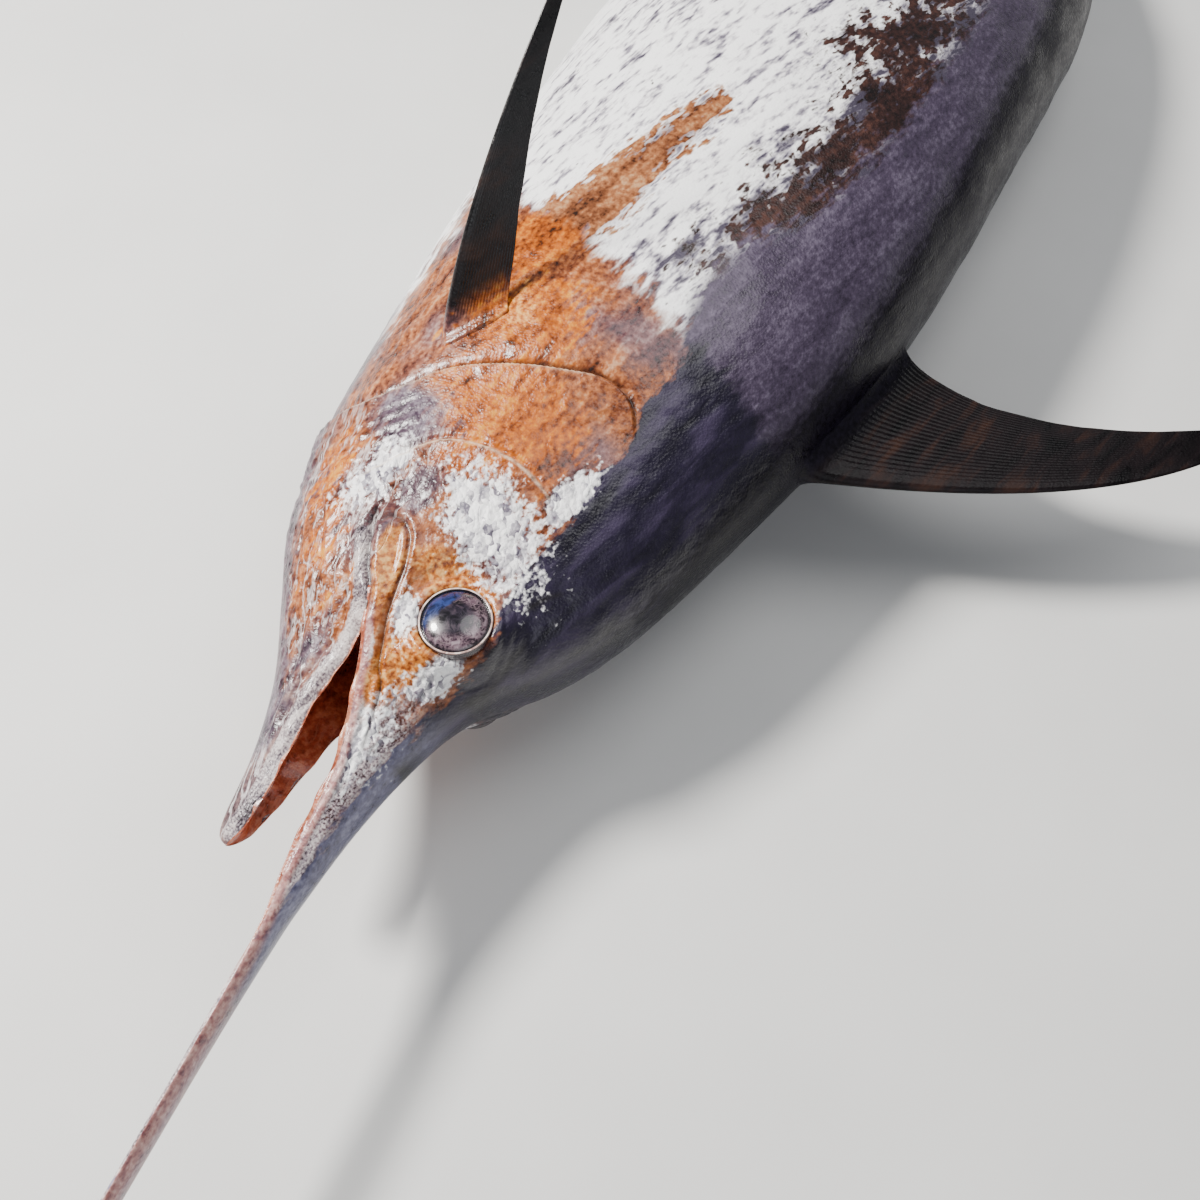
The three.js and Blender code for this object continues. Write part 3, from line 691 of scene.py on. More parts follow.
def cover_relief(flat):
    """The gill cover's raised rear edge with the slit behind it, its inner plate and the ribs under it."""
    margin = FlankCurve(flat, COVER_MARGIN, 100)
    s = margin.across
    cover = raised_edge(s, 6, 34)
    slit = -9 * np.exp(-np.maximum(-s - 2.5, 0) / 7) * fall(-3, 0.5, s)
    ends = within(0, 0.06, 0.78, 0.95, margin.share)
    moved = margin.spread((cover + slit) * ends * fall(45, 68, margin.away))
    ribs = 0.6 * np.sin(2 * np.pi * s / 15) * within(12, 24, 74, 96, s)
    moved += margin.spread(ribs * fall(0.26, 0.44, margin.share))
    inner = FlankCurve(flat, INNER_COVER, 40)
    s = inner.across
    plate = raised_edge(s, 3.4, 16) - 2.8 * hump(s + 4, 3.4)
    ends = within(0, 0.15, 0.85, 1, inner.share)
    return moved + inner.spread(plate * ends * fall(28, 40, inner.away))


def mouth_relief(flat):
    """Lips, the bar of the upper jaw, and the folds below the mouth."""
    lip = FlankCurve(flat, UPPER_LIP, 34)
    wide = mix(5, 12, ease(0.35, 0.95, lip.share))
    moved = lip.spread(mix(1.6, 4.5, lip.share) * hump(lip.away, wide) - 1.2 * hump(lip.away - 1.5 * wide, 4))
    groove = FlankCurve(flat, CHEEK_GROOVE, 20)
    moved += groove.spread(-3.4 * hump(groove.away, 2.6) * ease(0, 0.2, groove.share))
    moved += groove.spread(1.2 * hump(groove.away - 7, 4) * ease(0.1, 0.3, groove.share))
    fold = FlankCurve(flat, CORNER_FOLD, 24)
    moved += fold.spread(-5 * hump(fold.away, 3.4) * ease(0, 0.3, fold.share) + 1.5 * hump(fold.away - 10, 5))
    jaw = FlankCurve(flat, JAW_LIP, 34)
    moved += jaw.spread(2.4 * hump(jaw.away, 7) * ease(0, 0.1, jaw.share) - 1.8 * hump(jaw.across + 14, 4))
    for curve in (JAW_FOLD, THROAT_FOLD):
        crease = FlankCurve(flat, curve, 40)
        step = raised_edge(crease.across, 2, 14, -3, 2) - 1.6 * hump(crease.across + 3, 3)
        ends = within(0, 0.2, 0.8, 1, crease.share)
        moved += crease.spread(step * ends * fall(28, 40, crease.away))
    return moved


def creased(places, size, seed):
    """Sharp crests between -1 and 1, as in crumpled foil."""
    return 1 - 2 * np.minimum(1, 1.5 * np.abs(rough_field(places, size, seed, 2)))


def wrinkled(along, back):
    """1 where the skin of the jaw and the throat lies in fine wrinkles."""
    return within(-285, -240, 110, 240, along) * fall(-115, -85, back)


def relief(points, kinds):
    """How far each point moves out along the skin's normal, in millimetres."""
    flat = points[:, :2]
    mirrored = np.column_stack([flat, np.abs(points[:, 2])])
    along, back, side = mirrored.T
    moved = cover_relief(flat) + mouth_relief(flat) + eye_relief(along, back, side)
    for nostril_along, nostril_back in NOSTRILS:
        gap = np.hypot((along - nostril_along) / NOSTRIL_RADII[0], (back - nostril_back) / NOSTRIL_RADII[1])
        moved += (-5 * hump(gap, 0.9) + 0.8 * hump(gap - 1.9, 0.6)) * (side > 25)

    # Unevenness of flesh, crumpled skin and wrinkles that run along the jaw
    head = within(-330, -200, 380, 520, along)
    body = within(-300, -100, FORK - 700, FORK - 300, along)
    away_from_eye = ease(40, 48, np.hypot(along, back))
    moved += 1.3 * rough_field(mirrored, 70, 3) * body * away_from_eye
    moved += 0.4 * rough_field(mirrored, 14, 9) * head * away_from_eye
    # The skin crumples where the white patches of painted sheen lie
    on_sheen_crust = ease(0.35, 0.6, patches_of("sheen_crust", along, back))
    moved += 0.9 * creased(mirrored, 11, 31) * on_sheen_crust * away_from_eye
    drawn_out = mirrored / [3.2, 1, 1]
    below_mouth = wrinkled(along, back)
    moved += 0.75 * creased(drawn_out, 9, 41) * below_mouth
    warm_side = fall(-12, 4, back - dark_edge(along))
    moved += 0.4 * creased(drawn_out, 13, 51) * (1 - below_mouth) * head * away_from_eye * warm_side
    moved *= np.where(kinds == OUTSIDE, mix(1, ease(20, 50, side), head), 0)

    # Folds inside the mouth
    inside = (kinds == MOUTH) & (along > -330)
    folds = 1.4 * np.sin(along / 9 + 3 * lumps(mirrored, 40, 21)) * ease(-280, -240, along)
    return np.where(inside, folds * fall(MOUTH_CORNER - 30, MOUTH_CORNER, along), moved)


def point_normals(points, faces):
    """Normals of the skin at its points."""
    a, b, c, d = (points[faces[:, k]] for k in range(4))
    turned = np.cross(c - a, d - b)
    total = np.zeros_like(points)
    for k in range(4):
        for axis in range(3):
            total[:, axis] += np.bincount(faces[:, k], turned[:, axis], len(points))
    return unit(total)


def lay_down(points):
    """From the fish's own terms to the frame, in metres."""
    along, back, side = points.T
    middle = mix(FLANK_HEIGHT, STEM_HEIGHT, ease(DROOP_FROM, DROOP_TO, along))
    height = np.maximum(0, side + middle)
    return np.column_stack([EYE_X + along / METRE, EYE_Y - back / METRE, height / METRE])


def add_object(name, data):
    made = bpy.data.objects.new(name, data)
    bpy.context.scene.collection.objects.link(made)
    return made


def make_object(name, points, faces, corners=None):
    """A mesh object from faces of four corners, or three where the last two are the same."""
    turned = faces[:, ::-1]
    is_triangle = turned[:, 0] == turned[:, 1]
    keep = np.ones(turned.shape, dtype=bool)
    keep[is_triangle, 0] = False
    loops = turned[keep]
    totals = np.where(is_triangle, 3, 4)
    mesh = bpy.data.meshes.new(name)
    mesh.vertices.add(len(points))
    mesh.vertices.foreach_set("co", points.astype(np.float32).ravel())
    mesh.loops.add(len(loops))
    mesh.loops.foreach_set("vertex_index", loops.astype(np.int32))
    mesh.polygons.add(len(totals))
    starts = np.concatenate([[0], np.cumsum(totals)[:-1]])
    mesh.polygons.foreach_set("loop_start", starts.astype(np.int32))
    mesh.polygons.foreach_set("use_smooth", np.ones(len(totals), dtype=bool))
    mesh.update(calc_edges=True)
    if corners is not None:
        layer = mesh.uv_layers.new(name="OFBake")
        layer.data.foreach_set("uv", corners[:, ::-1][keep].astype(np.float32).ravel())
    return add_object(name, mesh)


def add_values(made, name, values):
    """Stores one value, or a vector, for each point of a mesh, for its material to read."""
    kind, key = ("FLOAT_VECTOR", "vector") if values.ndim == 2 else ("FLOAT", "value")
    layer = made.data.attributes.new(name, kind, "POINT")
    layer.data.foreach_set(key, values.astype(np.float32).ravel())


# Where the markings lie, as levels that pass 0.5 at their edges

def patch(along, back, centre, radii, turn, soft):
    """An oval patch on the flank, turned by an angle in degrees."""
    angle = math.radians(turn)
    x = along - centre[0]
    y = back - centre[1]
    u = (x * math.cos(angle) + y * math.sin(angle)) / radii[0]
    v = (y * math.cos(angle) - x * math.sin(angle)) / radii[1]
    return ramp(1 - np.hypot(u, v), 2 * soft)


def stripe(flat, curve, half, soft):
    """A stripe along a curve, half of its width each side."""
    near = FlankCurve(flat, curve, half + soft)
    return near.spread(ramp(half - near.away, 2 * soft))


def tapered_stripe(flat, curve, half_start, half_end, soft):
    """A stripe whose half width changes along its curve, and whose ends taper off."""
    near = FlankCurve(flat, curve, max(half_start, half_end) + soft)
    taper = fall(0, 0.12, near.share) + ease(0.85, 1, near.share)
    half = mix(half_start, half_end, near.share) - soft * taper
    return near.spread(ramp(half - near.away, 2 * soft))


dark_edge = smooth_line([
    [BILL_TIP, 2], [-900, -13], [-500, -24], [-340, -25], [-285, -23], [-205, -18], [-166, -10], [-123, -2],
    [-95, 7], [-65, 19], [-25, 33], [4, 43], [40, 36], [87, 40], [120, 47], [160, 56], [196, 54], [236, 76],
    [300, 68], [350, 84], [420, 70], [500, 80], [547, 98], [595, 126], [658, 150], [728, 162], [872, 180],
    [1100, 192], [1300, 180], [1650, 125], [2000, 60], [STEM_END, 15],
])
black_edge = smooth_line([
    [BILL_TIP, 20], [-300, 10], [-100, 60], [120, 150], [300, 190], [536, 236], [789, 254], [1141, 262],
    [1400, 245], [1700, 185], [STEM_END, 30],
])
COPPER_STREAK = [
    [375, -165], [421, -146], [465, -117], [513, -89], [578, -70], [647, -50], [714, -29], [766, -12],
]
SLASHES = [
    [[-58, 32], [-30, 50], [8, 66], [24, 72]],
    [[-62, 46], [-40, 60], [-12, 72]],
    [[48, 58], [66, 68], [84, 84]],
    [[-150, 4], [-128, 12], [-104, 22]],
]
# Centre and half sizes of each blotch on the trunk: along, back, long, high
MOTTLES = [
    (600, 108, 76, 22), (720, 130, 66, 26), (800, 156, 60, 24), (880, 160, 70, 26), (965, 130, 80, 28),
    (1100, 150, 80, 30), (1260, 120, 100, 34),
]
# Patches of each marking: centre, half sizes, turn in degrees, softness and strength
PATCHES = {
    "copper": [
        ((222, -52), (62, 88), 18, 1, 1),  # gill cover
        ((325, -96), (66, 58), 20, 1.3, 1),  # behind the gill cover
        ((150, -72), (34, 46), 20, 1, 1),  # inner plate
        ((60, -190), (110, 40), -25, 1.6, 0.75),  # throat
    ],
    "gold": [
        ((24, -92), (46, 13), -18, 1, 1),  # bar of the upper jaw
        ((-68, -33), (52, 25), 22, 1, 1),  # cheek
        ((40, -20), (26, 50), 10, 1.3, 1),  # behind the eye
        ((345, -104), (50, 44), 0, 1.5, 0.7),  # root of the pectoral fin
    ],
    # Painted sheen: white patches whose white stands in for highlights on the wet skin, where the skin also
    # crumples
    "sheen_crust": [
        ((104, -14), (42, 70), 32, 1, 1),  # behind the eye
        ((170, 46), (44, 15), 18, 1, 1),  # spur behind that
        ((-14, -50), (25, 13), -20, 1, 1),  # under the eye
        ((-60, 4), (34, 10), 33, 1, 1),  # before the eye
        ((110, -156), (46, 25), 22, 1.2, 1),  # behind the mouth
        ((-150, -33), (66, 19), 10, 1.4, 0.9),  # snout
    ],
    "slate": [
        ((184, -156), (38, 42), 35, 1, 1),  # gill cover
        ((112, -100), (30, 24), 35, 1, 1),  # cheek
        ((-95, -136), (62, 15), 8, 1.3, 0.85),  # lower jaw
        ((58, -106), (14, 14), 0, 1.2, 1),  # end of the upper jaw
    ],
    "mottle": [((along, back), (long, high), 28, 2.2, 1) for along, back, long, high in MOTTLES],
}


def patches_of(name, along, back):
    """The strongest of a marking's patches at each point."""
    return np.maximum.reduce([strength * patch(along, back, *oval) for *oval, strength in PATCHES[name]])


def paint_levels(made, points, kinds, heights):
    """Stores what the skin's material reads."""
    flat = points[:, :2]
    along, back = flat.T
    side = np.abs(points[:, 2])
    mouth = (kinds == MOUTH) * ease(-410, -330, along)
    above_lip = back - widest_upper(along)
    levels = {name: patches_of(name, along, back) for name in PATCHES}
    copper_streak = tapered_stripe(flat, COPPER_STREAK, 58, 20, 38)
    levels["copper"] = np.maximum(levels["copper"], 0.84 * copper_streak)
    # Painted shade: slate along the throat's edge, where the underside lies in shade
    throat = ramp(throat_line(along) + 30 - back, 50) * within(-260, -160, 320, 480, along)
    levels["slate"] = np.maximum(levels["slate"], 0.9 * throat)
    levels["mottle"] = np.clip(levels["mottle"] + 0.08, 0, 1)
    levels["dark"] = ramp(back - dark_edge(along), mix(150, 44, fall(330, 520, along)))
    levels["top"] = ramp(back - black_edge(along), 60)
    levels["snout"] = fall(-150, -60, along) * ease(-14, -8, above_lip)
    levels["jaw"] = fall(-210, -30, along) * fall(-14, -8, above_lip)
    levels["wrinkled"] = wrinkled(along, back)
    pale_belly = 0.8 * ease(180, 440, along) * fall(20, 140, side) * fall(-160, -120, back)
    levels["silver"] = np.maximum(ease(380, 520, along + 0.35 * back), pale_belly)

    # Lines drawn on the outside alone
    drawn = {"rosy": within(-1, 0, 5, 10, above_lip) * fall(-40, -10, along)}
    drawn["lip"] = np.maximum(tapered_stripe(flat, UPPER_LIP[:7], 7, 6, 5), stripe(flat, JAW_LIP, 9, 7))
    inner_line = tapered_stripe(flat, INNER_COVER, 1.8, 1.8, 1.6)
    drawn["pale"] = np.maximum(tapered_stripe(flat, COVER_MARGIN[2:10], 2.2, 1.4, 1.6), inner_line)
    # Dark lines: painted shade in the cheek groove and the fold at the mouth's corner, and dark slashes that
    # are marks of the skin
    dark_lines = [stripe(flat, CHEEK_GROOVE, 1.1, 1.8), stripe(flat, CORNER_FOLD, 1.6, 2.4)]
    dark_lines += [tapered_stripe(flat, slash, 3.4, 1.2, 3) for slash in SLASHES]
    # Painted shadow: a dark line in the slit behind the gill cover's raised edge
    margin = FlankCurve(flat, COVER_MARGIN, 16)
    slit = 0.8 * hump(margin.across + 5, 3) * within(0.1, 0.2, 0.75, 0.9, margin.share)
    drawn["groove"] = np.maximum.reduce([*dark_lines, margin.spread(slit)])

    for name, level in levels.items():
        add_values(made, name, level * (1 - mouth))
    for name, level in drawn.items():
        add_values(made, name, level * (kinds == OUTSIDE))
    add_values(made, "mouth", mouth)
    add_values(made, "fin", np.where(kinds == FIN, ease(2, 34, heights), 0))
    add_values(made, "fish", points)


# Materials

def colour(code):
    """A colour from its web code, in linear light."""
    parts = [int(code[k : k + 2], 16) / 255 for k in (1, 3, 5)]
    linear = [p / 12.92 if p <= 0.04045 else ((p + 0.055) / 1.055) ** 2.4 for p in parts]
    return (*linear, 1.0)


class Finish:
    """Short calls that add nodes to one material."""

    def __init__(self, name, constants):
        self.material = bpy.data.materials.new(name)
        self.material.use_nodes = True
        self.tree = self.material.node_tree
        self.shader = self.tree.nodes["Principled BSDF"]
        self.fill(self.shader, constants)

    def fill(self, node, inputs):
        """Gives each input of a node its link, its number or the colour of a web code."""
        for socket, value in inputs.items():
            if isinstance(value, bpy.types.NodeSocket):
                self.tree.links.new(value, node.inputs[socket])
            else:
                node.inputs[socket].default_value = colour(value) if isinstance(value, str) else value

    def node(self, kind, inputs, **settings):
        made = self.tree.nodes.new("ShaderNode" + kind)
        for key, value in settings.items():
            setattr(made, key, value)
        self.fill(made, inputs)
        return made

    def value(self, name):
        return self.node("Attribute", {}, attribute_name=name).outputs["Fac"]

    def place(self, name):
        return self.node("Attribute", {}, attribute_name=name).outputs["Vector"]

    def math(self, operation, *values):
        return self.node("Math", dict(enumerate(values)), operation=operation).outputs[0]

    def times(self, first, second):
        return self.math("MULTIPLY", first, second)

    def rest(self, value):
        return self.math("SUBTRACT", 1.0, value)

    def both(self, first, second, share=0.5):
        """Two patterns in one, in which the first has the given share."""
        return self.math("MULTIPLY_ADD", first, share, self.times(second, 1 - share))

    def spot(self, where, size, stretch, turn):
        """A place turned by an angle in degrees, and measured in features of a size."""
        if turn:
            where = self.node("Mapping", {0: where, "Rotation": (0, 0, math.radians(turn))}).outputs[0]
        return self.node("Mapping", {0: where, "Scale": [share / size for share in stretch]}).outputs[0]

    def noise(self, where, size, detail=3.0, stretch=(1, 1, 1), turn=0.0, twist=0.0):
        """Noise from 0 to 1 with features about size millimetres across."""
        spot = self.spot(where, size, stretch, turn)
        inputs = {"Vector": spot, "Scale": 1.0, "Detail": detail, "Distortion": twist}
        return self.node("TexNoise", inputs).outputs[0]

    def cells(self, where, size, stretch=(1, 1, 1), turn=0.0):
        """Cells about size across, with the distance from their centres and a colour for each."""
        spot = self.spot(where, size, stretch, turn)
        return self.node("TexVoronoi", {"Vector": spot, "Scale": 1.0}).outputs

    def crumpled(self, where, size):
        """A place that noise pushes about, for patterns that look crumpled."""
        push = self.node("TexNoise", {"Vector": where, "Scale": 0.5 / size, "Detail": 1.0}).outputs["Color"]
        inputs = {0: push, 1: [2.2 * size] * 3, 2: where}
        return self.node("VectorMath", inputs, operation="MULTIPLY_ADD").outputs[0]

    def curve(self, value, low, high, to_low=0.0, to_high=1.0):
        """A smooth step of value from low to high."""
        inputs = {0: value, 1: low, 2: high, 3: to_low, 4: to_high}
        return self.node("MapRange", inputs, interpolation_type="SMOOTHSTEP").outputs[0]

    def lines(self, noise, half):
        """Thin lines where noise passes one half, 1 in the middle of each line."""
        off = self.math("ABSOLUTE", self.math("SUBTRACT", noise, 0.5))
        return self.curve(off, 0.0, half, 1.0, 0.0)

    def ragged(self, level, noise, amount, soft):
        """1 where a level passes one half, with an edge that noise breaks up."""
        moved = self.math("MULTIPLY_ADD", self.math("SUBTRACT", noise, 0.5), amount, level)
        return self.curve(moved, 0.5 - soft, 0.5 + soft)

    def marking(self, name, noise, amount, soft):
        """Where a marking of the skin lies, with a ragged edge."""
        return self.ragged(self.value(name), noise, amount, soft)

    def over(self, below, above, share, strength=1):
        """One colour over another, as far as share and strength say."""
        if strength < 1:
            share = self.times(share, strength)
        return self.node("Mix", {0: share, 6: below, 7: above}, data_type="RGBA").outputs[2]

    def tones(self, value, low, high, codes):
        """Colours in a row, spread over value from low to high."""
        codes = codes.split()
        made = self.node("ValToRGB", {0: value})
        row = made.color_ramp
        for _ in codes[2:]:
            row.elements.new(0.5)
        for k, code in enumerate(codes):
            row.elements[k].position = low + (high - low) * k / (len(codes) - 1)
            row.elements[k].color = colour(code)
        return made.outputs[0]

    def bump(self, height, distance, strength, below=None):
        inputs = {"Height": height, "Distance": distance, "Strength": strength}
        if below is not None:
            inputs["Normal"] = below
        return self.node("Bump", inputs).outputs[0]


STRAND = 5.5  # width of the strands of crumpled skin


def skin_finish():
    finish = Finish("fish_skin", {"Coat Roughness": 0.14})
    fish = finish.place("fish")
    share_of, noise, both = finish.value, finish.noise, finish.both
    tones, marking, over = finish.tones, finish.marking, finish.over

    # Patterns that the colours share
    broad = noise(fish, 110)
    streaks = noise(fish, 24, 4, (0.3, 1.25, 1), -16, 0.4)
    torn = noise(fish, 22, 4, (0.7, 1, 1), 20, 0.8)
    dashes = noise(fish, 8, 3, (0.42, 1.2, 1), -16)
    fine = noise(fish, 6.5, 4)
    specks = noise(fish, 2.6, 2)
    wrinkles = finish.lines(noise(fish, 17, 3, (0.2, 1, 1), 8), 0.04)
    strands = finish.cells(finish.crumpled(fish, STRAND), STRAND, (0.45, 1, 1), 35)
    mixed = both(fine, streaks)
    peppered = both(specks, streaks, 0.45)
    scatter = both(dashes, streaks)
    rags = both(dashes, torn)

    # The silver trunk, with more grey flecks towards the back
    flecked = finish.math("MULTIPLY_ADD", share_of("dark"), -0.15, scatter)
    flecked = finish.math("MULTIPLY_ADD", share_of("mottle"), -0.09, flecked)
    silver = tones(flecked, 0.34, 0.5, "#3f3947 #8f8a95 #dfdcdf #ffffff")
    drifting = finish.math("MULTIPLY_ADD", broad, 0.5, scatter)
    silver_share = marking("silver", drifting, 0.9, 0.13)

    # The warm brown of the head, with grey patches and pale wrinkles
    slate = tones(mixed, 0.34, 0.66, "#1a131e #463a4a #7b7180")
    warm = tones(mixed, 0.33, 0.66, "#28120b #6b3519 #a05c2e #bb8c68")
    warm = over(warm, slate, finish.curve(broad, 0.46, 0.64, 0, 0.7))
    pale_lines = finish.times(wrinkles, share_of("wrinkled"))
    warm = over(warm, "#cfc4c2", pale_lines, 0.75)
    result = over(warm, silver, silver_share)
    jaw = tones(mixed, 0.34, 0.62, "#1f1518 #5d464a #94756b")
    jaw = over(jaw, "#d3cccd", wrinkles, 0.75)
    result = over(result, jaw, marking("jaw", streaks, 1.2, 0.2))

    # Copper on the gill cover, browner where it runs on over the trunk
    copper = tones(mixed, 0.34, 0.64, "#2b1202 #7f3900 #ad5800 #c98218")
    bronze = tones(mixed, 0.34, 0.66, "#20120b #5a3824 #875c40 #a5856a")
    copper = over(copper, bronze, silver_share, 0.75)
    result = over(result, copper, marking("copper", scatter, 1.7, 0.09))

    # Slate, with painted shade along the throat's edge, the trunk's mottles, the lips and gold
    result = over(result, slate, marking("slate", rags, 1.2, 0.2), 0.85)
    mottle = tones(mixed, 0.35, 0.65, "#0e0605 #2a1410 #4a2a20")
    result = over(result, mottle, marking("mottle", rags, 2.2, 0.1))
    lip = tones(peppered, 0.37, 0.6, "#0d0a0f #5f565f #a09596 #cbc2bf")
    result = over(result, lip, marking("lip", fine, 0.6, 0.12), 0.9)
    gold = tones(fine, 0.35, 0.65, "#74350a #bd7028 #dfab64")
    gold_share = marking("gold", rags, 0.8, 0.1)
    result = over(result, gold, gold_share, 0.9)

    # The dark back: violet on the head and black along the ridge; on the snout lavender grey-blue, a painted
    # reflection of grazing light on its dark top
    violet = tones(streaks, 0.32, 0.72, "#0b0714 #1b1429 #362c45")
    lavender_reflection = tones(mixed, 0.33, 0.68, "#2f2c43 #5d5b76 #9190a8")
    dusk = tones(mixed, 0.32, 0.72, "#281f2f #43384b #685e71")
    dark = over(over(violet, dusk, silver_share), lavender_reflection, share_of("snout"))
    top = tones(fine, 0.35, 0.65, "#040307 #100d18")
    top_share = marking("top", scatter, 0.7, 0.2)
    dark_share = marking("dark", scatter, 1.0, 0.08)
    result = over(result, over(dark, top, top_share, 0.94), dark_share)

    # Pale snout and bill below the lavender, with black specks
    chalk = tones(peppered, 0.37, 0.54, "#08060b #756a73 #b3a6a9 #dcd4d2")
    chalk_share = finish.times(share_of("snout"), finish.rest(dark_share))
    chalk_share = finish.times(chalk_share, finish.rest(gold_share))
    result = over(result, chalk, chalk_share, 0.85)

    # Crumpled white skin, with grey strands among the white, which is painted sheen: it stands in for
    # highlights on the wet skin
    crumple = both(strands["Color"], mixed, 0.4)
    sheen_white = tones(crumple, 0.33, 0.6, "#5f5a69 #a9a6af #efeeef #ffffff")
    sheen_crust_share = marking("sheen_crust", both(fine, rags, 0.45), 2.1, 0.12)
    result = over(result, sheen_white, sheen_crust_share, 0.96)

    # Lines drawn on the head, the mouth and the fins
    rosy = tones(fine, 0.3, 0.68, "#6e3c44 #ab716a #cfa398")
    result = over(result, rosy, share_of("rosy"), 0.85)
    pale_share = finish.times(share_of("pale"), finish.curve(fine, 0.35, 0.55, 0.35, 0.85))
    result = over(result, "#f0d9bd", pale_share)
    # Painted shade in the grooves, the fold and the gill slit, and the skin's own dark slashes
    result = over(result, "#0c0709", share_of("groove"), 0.92)
    inner = tones(mixed, 0.33, 0.66, "#5a2010 #a5563a #d08f6c")
    inner = over(inner, "#c08a70", wrinkles, 0.35)
    result = over(result, inner, share_of("mouth"))
    fin_tones = tones(streaks, 0.34, 0.72, "#040304 #120c0e #2b1a14")
    result = over(result, fin_tones, share_of("fin"))

    # Relief too fine for the mesh: ripples, pores, wrinkles and crumples
    pores = finish.math("MULTIPLY_ADD", specks, 0.6, finish.cells(fish, 3.2)["Distance"])
    crumples = finish.times(strands["Distance"], finish.curve(share_of("sheen_crust"), 0.3, 0.55, 0.0, -1.0))
    bumps = finish.bump(streaks, 0.0022, 0.7)
    bumps = finish.bump(pores, 0.0007, 0.5, bumps)
    bumps = finish.bump(finish.times(pale_lines, -1.0), 0.0012, 0.6, bumps)
    bumps = finish.bump(crumples, 0.0022, 0.7, bumps)

    # The black ridge is duller than the rest
    not_black = finish.rest(finish.times(top_share, dark_share))
    roughness = finish.curve(mixed, 0.35, 0.65, 0.26, 0.46)
    finish.fill(finish.shader, {
        "Base Color": result,
        "Roughness": finish.math("MULTIPLY_ADD", sheen_crust_share, 0.12, roughness),
        "Specular IOR Level": finish.curve(not_black, 0.0, 1.0, 0.12, 0.4),
        "Coat Weight": finish.curve(not_black, 0.0, 1.0, 0.05, 0.2),
        "Normal": bumps,
    })
    return finish.material


def eye_finish():
    constants = {"Coat Weight": 1.0, "Coat Roughness": 0.05, "Coat IOR": 1.4}
    finish = Finish("eye", constants)
    around = finish.value("round")
    fish = finish.place("fish")
    mottle = finish.noise(fish, 9, 5, twist=1.0)
    veins = finish.lines(finish.noise(fish, 7, twist=1.5), 0.06)
    iris = finish.tones(mottle, 0.34, 0.7, "#120910 #33212d #5f4a54 #8a7a82")
    iris = finish.over(iris, "#a89298", veins, 0.35)
    pupil = finish.tones(mottle, 0.36, 0.7, "#07040b #1b1220 #3d2e3a")
    inside = finish.ragged(finish.math("SUBTRACT", 1.02, around), mottle, 0.35, 0.12)
    result = finish.over(iris, pupil, inside)
    blue = finish.tones(mottle, 0.36, 0.64, "#080d28 #1b2f66")
    result = finish.over(result, blue, finish.ragged(finish.value("crescent"), mottle, 0.3, 0.08))

    # From the dome to the rim: a dark edge, a thin pale ring and the dark skin outside it
    ring = finish.tones(mottle, 0.34, 0.62, "#8d6a66 #cdaea3 #eadbd2")
    for start, end, band in ((0.82, 0.93, "#130b12"), (0.95, 0.965, ring), (0.985, 1.015, "#2b1d22")):
        result = finish.over(result, band, finish.curve(around, start, end))
    roughness = finish.curve(mottle, 0.3, 0.7, 0.18, 0.36)
    bumps = finish.bump(mottle, 0.0005, 0.35)
    finish.fill(finish.shader, {"Base Color": result, "Roughness": roughness, "Normal": bumps})
    return finish.material


def floor_finish():
    finish = Finish("floor_paint", {"Roughness": 0.75})
    place = finish.node("TexCoord", {}).outputs["Object"]
    grain = finish.node("TexNoise", {"Vector": place, "Scale": 3.0, "Detail": 4.0}).outputs[0]
    finish.fill(finish.shader, {"Base Color": finish.tones(grain, 0.3, 0.7, "#d6d6d4 #dededc")})
    return finish.material


# Pieces

def make_skin():
    surface = Surface()
    body_surface(surface)
    fin_surfaces(surface)
    points, kinds, heights, faces, corners = surface.joined()
    normals = point_normals(points, faces)
    moved = points + normals * relief(points, kinds)[:, None]
    made = make_object("skin", lay_down(moved), faces, corners)
    paint_levels(made, points, kinds, heights)
    made.data.materials.append(skin_finish())
    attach(made, "root")
    flesh = [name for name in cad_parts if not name.startswith("eye_")]
    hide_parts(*flesh)


EYE_SUNK = 5
EYE_DOME = 15
EYE_EDGE = 1.24  # the turn, in radians, at which the dome meets its pale rim
RIM_HALF = 1.9
RIM_HIGH = 1.15  # the rim's height against its width
EYE_FOOT = [(0.4, -4), (0.2, -10), (-6, -18), (-20, -22)]


def eye_profile():
    """Distances from the eye's centre line and heights above its widest ring, from the front to the back."""
    turns = np.linspace(0, EYE_EDGE, 40)
    dome = np.column_stack([(EYE_RADIUS - 1) * np.sin(turns), EYE_DOME * np.cos(turns)])
    bend = np.linspace(math.pi, -0.3, 20)[1:]
    middle = dome[-1] + [RIM_HALF, -0.2]
    rim = middle + RIM_HALF * np.column_stack([np.cos(bend), RIM_HIGH * np.sin(bend)])
    foot = rim[-1] + np.array(EYE_FOOT)
    return np.vstack([dome, rim, foot])


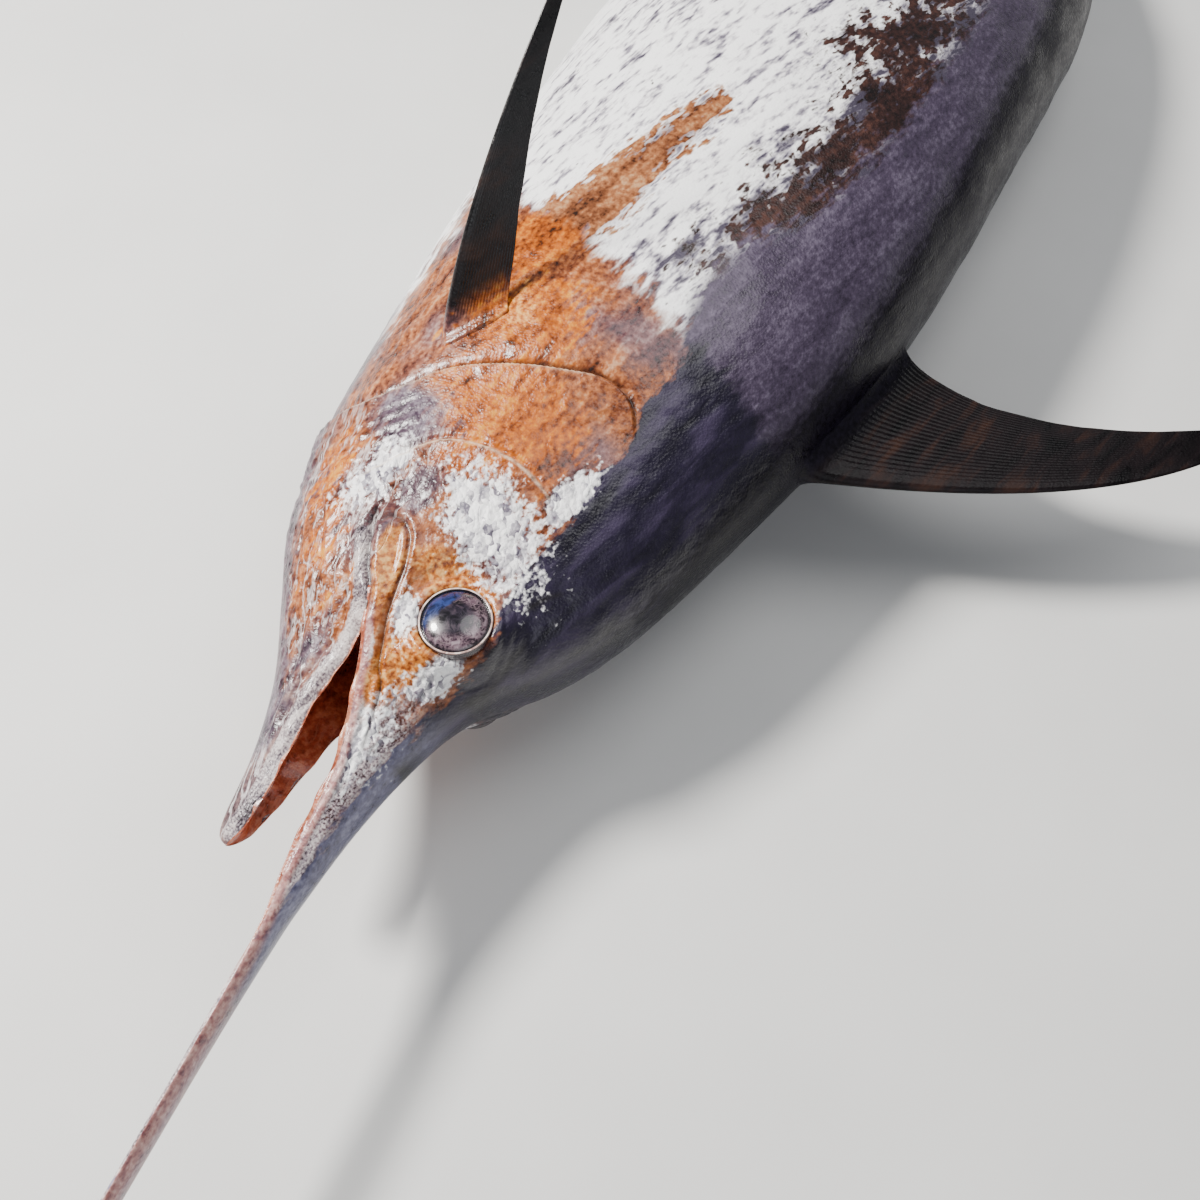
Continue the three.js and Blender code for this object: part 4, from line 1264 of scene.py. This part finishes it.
def make_eye(side_sign, name, node, finish):
    """A glassy dome with a thin pale rim that stands in its socket."""
    around = 168
    outer = float(flank_side(0, 0)) - EYE_SUNK
    radius, depth = eye_profile().T[..., None]
    angles = np.linspace(0, 2 * math.pi, around, endpoint=False)[None]
    side = side_sign * (outer + depth) + 0 * angles
    points = np.stack([radius * np.cos(angles), radius * np.sin(angles), side], -1)
    surface = Surface()
    index = surface.add_points(points, OUTSIDE)
    index = np.concatenate([index, index[:, :1]], axis=1)
    ordered = index if side_sign > 0 else index[:, ::-1]
    surface.add_grid(ordered, (0.02, 0.98, 0.02, 0.98))
    loop = index[-1, :-1]
    surface.close(loop if side_sign > 0 else loop[::-1], (0, 0.01, 0, 0.01))
    whole, _, _, faces, _ = surface.joined()
    along, back, side = whole.T
    made = make_object(name, lay_down(whole), faces)
    add_values(made, "fish", np.column_stack([along, back, np.abs(side)]))
    from_centre = np.hypot(along, back) / EYE_RADIUS
    add_values(made, "round", from_centre)
    to_belly = (0.3 * along - 0.95 * back) / EYE_RADIUS
    add_values(made, "crescent", to_belly + 0.12 - 1.6 * np.maximum(0, 0.45 - from_centre))
    made.data.materials.append(finish)
    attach(made, "root")
    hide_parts(node)


def make_eyes():
    finish = eye_finish()
    for side_sign, side_name in ((1, "right"), (-1, "left")):
        make_eye(side_sign, f"glass_eye_{side_name}", f"eye_{side_name}", finish)


# Camera, lights and floor

IMAGE_SIDE = 1200
FOCAL_PIXELS = 1280
SENSOR = 36
PITCH = math.radians(62)
HEADING = math.radians(26.45)
EYE_PIXEL = (455, 618)
EYE_DEPTH = 1.3093
EYE_FRONT = 0.105


def make_camera():
    level = math.cos(PITCH)
    forward = Vector((level * math.cos(HEADING), level * math.sin(HEADING), -math.sin(PITCH)))
    right = Vector((math.sin(HEADING), -math.cos(HEADING), 0))
    up = right.cross(forward)
    across = (EYE_PIXEL[0] - IMAGE_SIDE / 2) / FOCAL_PIXELS
    rise = (IMAGE_SIDE / 2 - EYE_PIXEL[1]) / FOCAL_PIXELS
    target = Vector((EYE_X, EYE_Y, FLANK_HEIGHT / METRE + EYE_FRONT))
    data = bpy.data.cameras.new("camera")
    data.sensor_width = SENSOR
    data.lens = SENSOR * FOCAL_PIXELS / IMAGE_SIDE
    data.clip_end = 100
    camera = add_object("camera", data)
    camera.location = target - EYE_DEPTH * (forward + across * right + rise * up)
    camera.rotation_euler = (math.pi / 2 - PITCH, 0, HEADING - math.pi / 2)
    bpy.context.scene.camera = camera


def area_light(name, place, aim, size, power, tint=(1, 1, 1)):
    data = bpy.data.lights.new(name, "AREA")
    data.shape = "DISK"
    data.size = size
    data.energy = power
    data.color = tint
    light = add_object(name, data)
    light.location = place
    light.rotation_euler = (Vector(aim) - Vector(place)).to_track_quat("-Z", "Y").to_euler()


def make_studio():
    area_light("key_light", (-0.9, 2.6, 3.2), (-0.2, 0, 0.2), 0.9, 400, (1, 0.97, 0.93))
    area_light("fill_light", (-2.6, -2.4, 2.4), (-0.3, 0, 0.2), 2.4, 24, (0.93, 0.96, 1))
    area_light("top_light", (0.8, -0.6, 3.6), (0.3, 0, 0), 2.4, 50)
    world = bpy.data.worlds.new("studio")
    world.use_nodes = True
    background = world.node_tree.nodes["Background"]
    background.inputs["Color"].default_value = (0.9, 0.93, 1, 1)
    background.inputs["Strength"].default_value = 0.28
    bpy.context.scene.world = world
    reach = 14
    points = np.array([[-reach, -reach, 0], [reach, -reach, 0], [reach, reach, 0], [-reach, reach, 0]])
    floor = make_object("floor", points, np.array([[3, 2, 1, 0]]))
    floor.data.materials.append(floor_finish())


make_camera()
make_studio()
make_skin()
make_eyes()
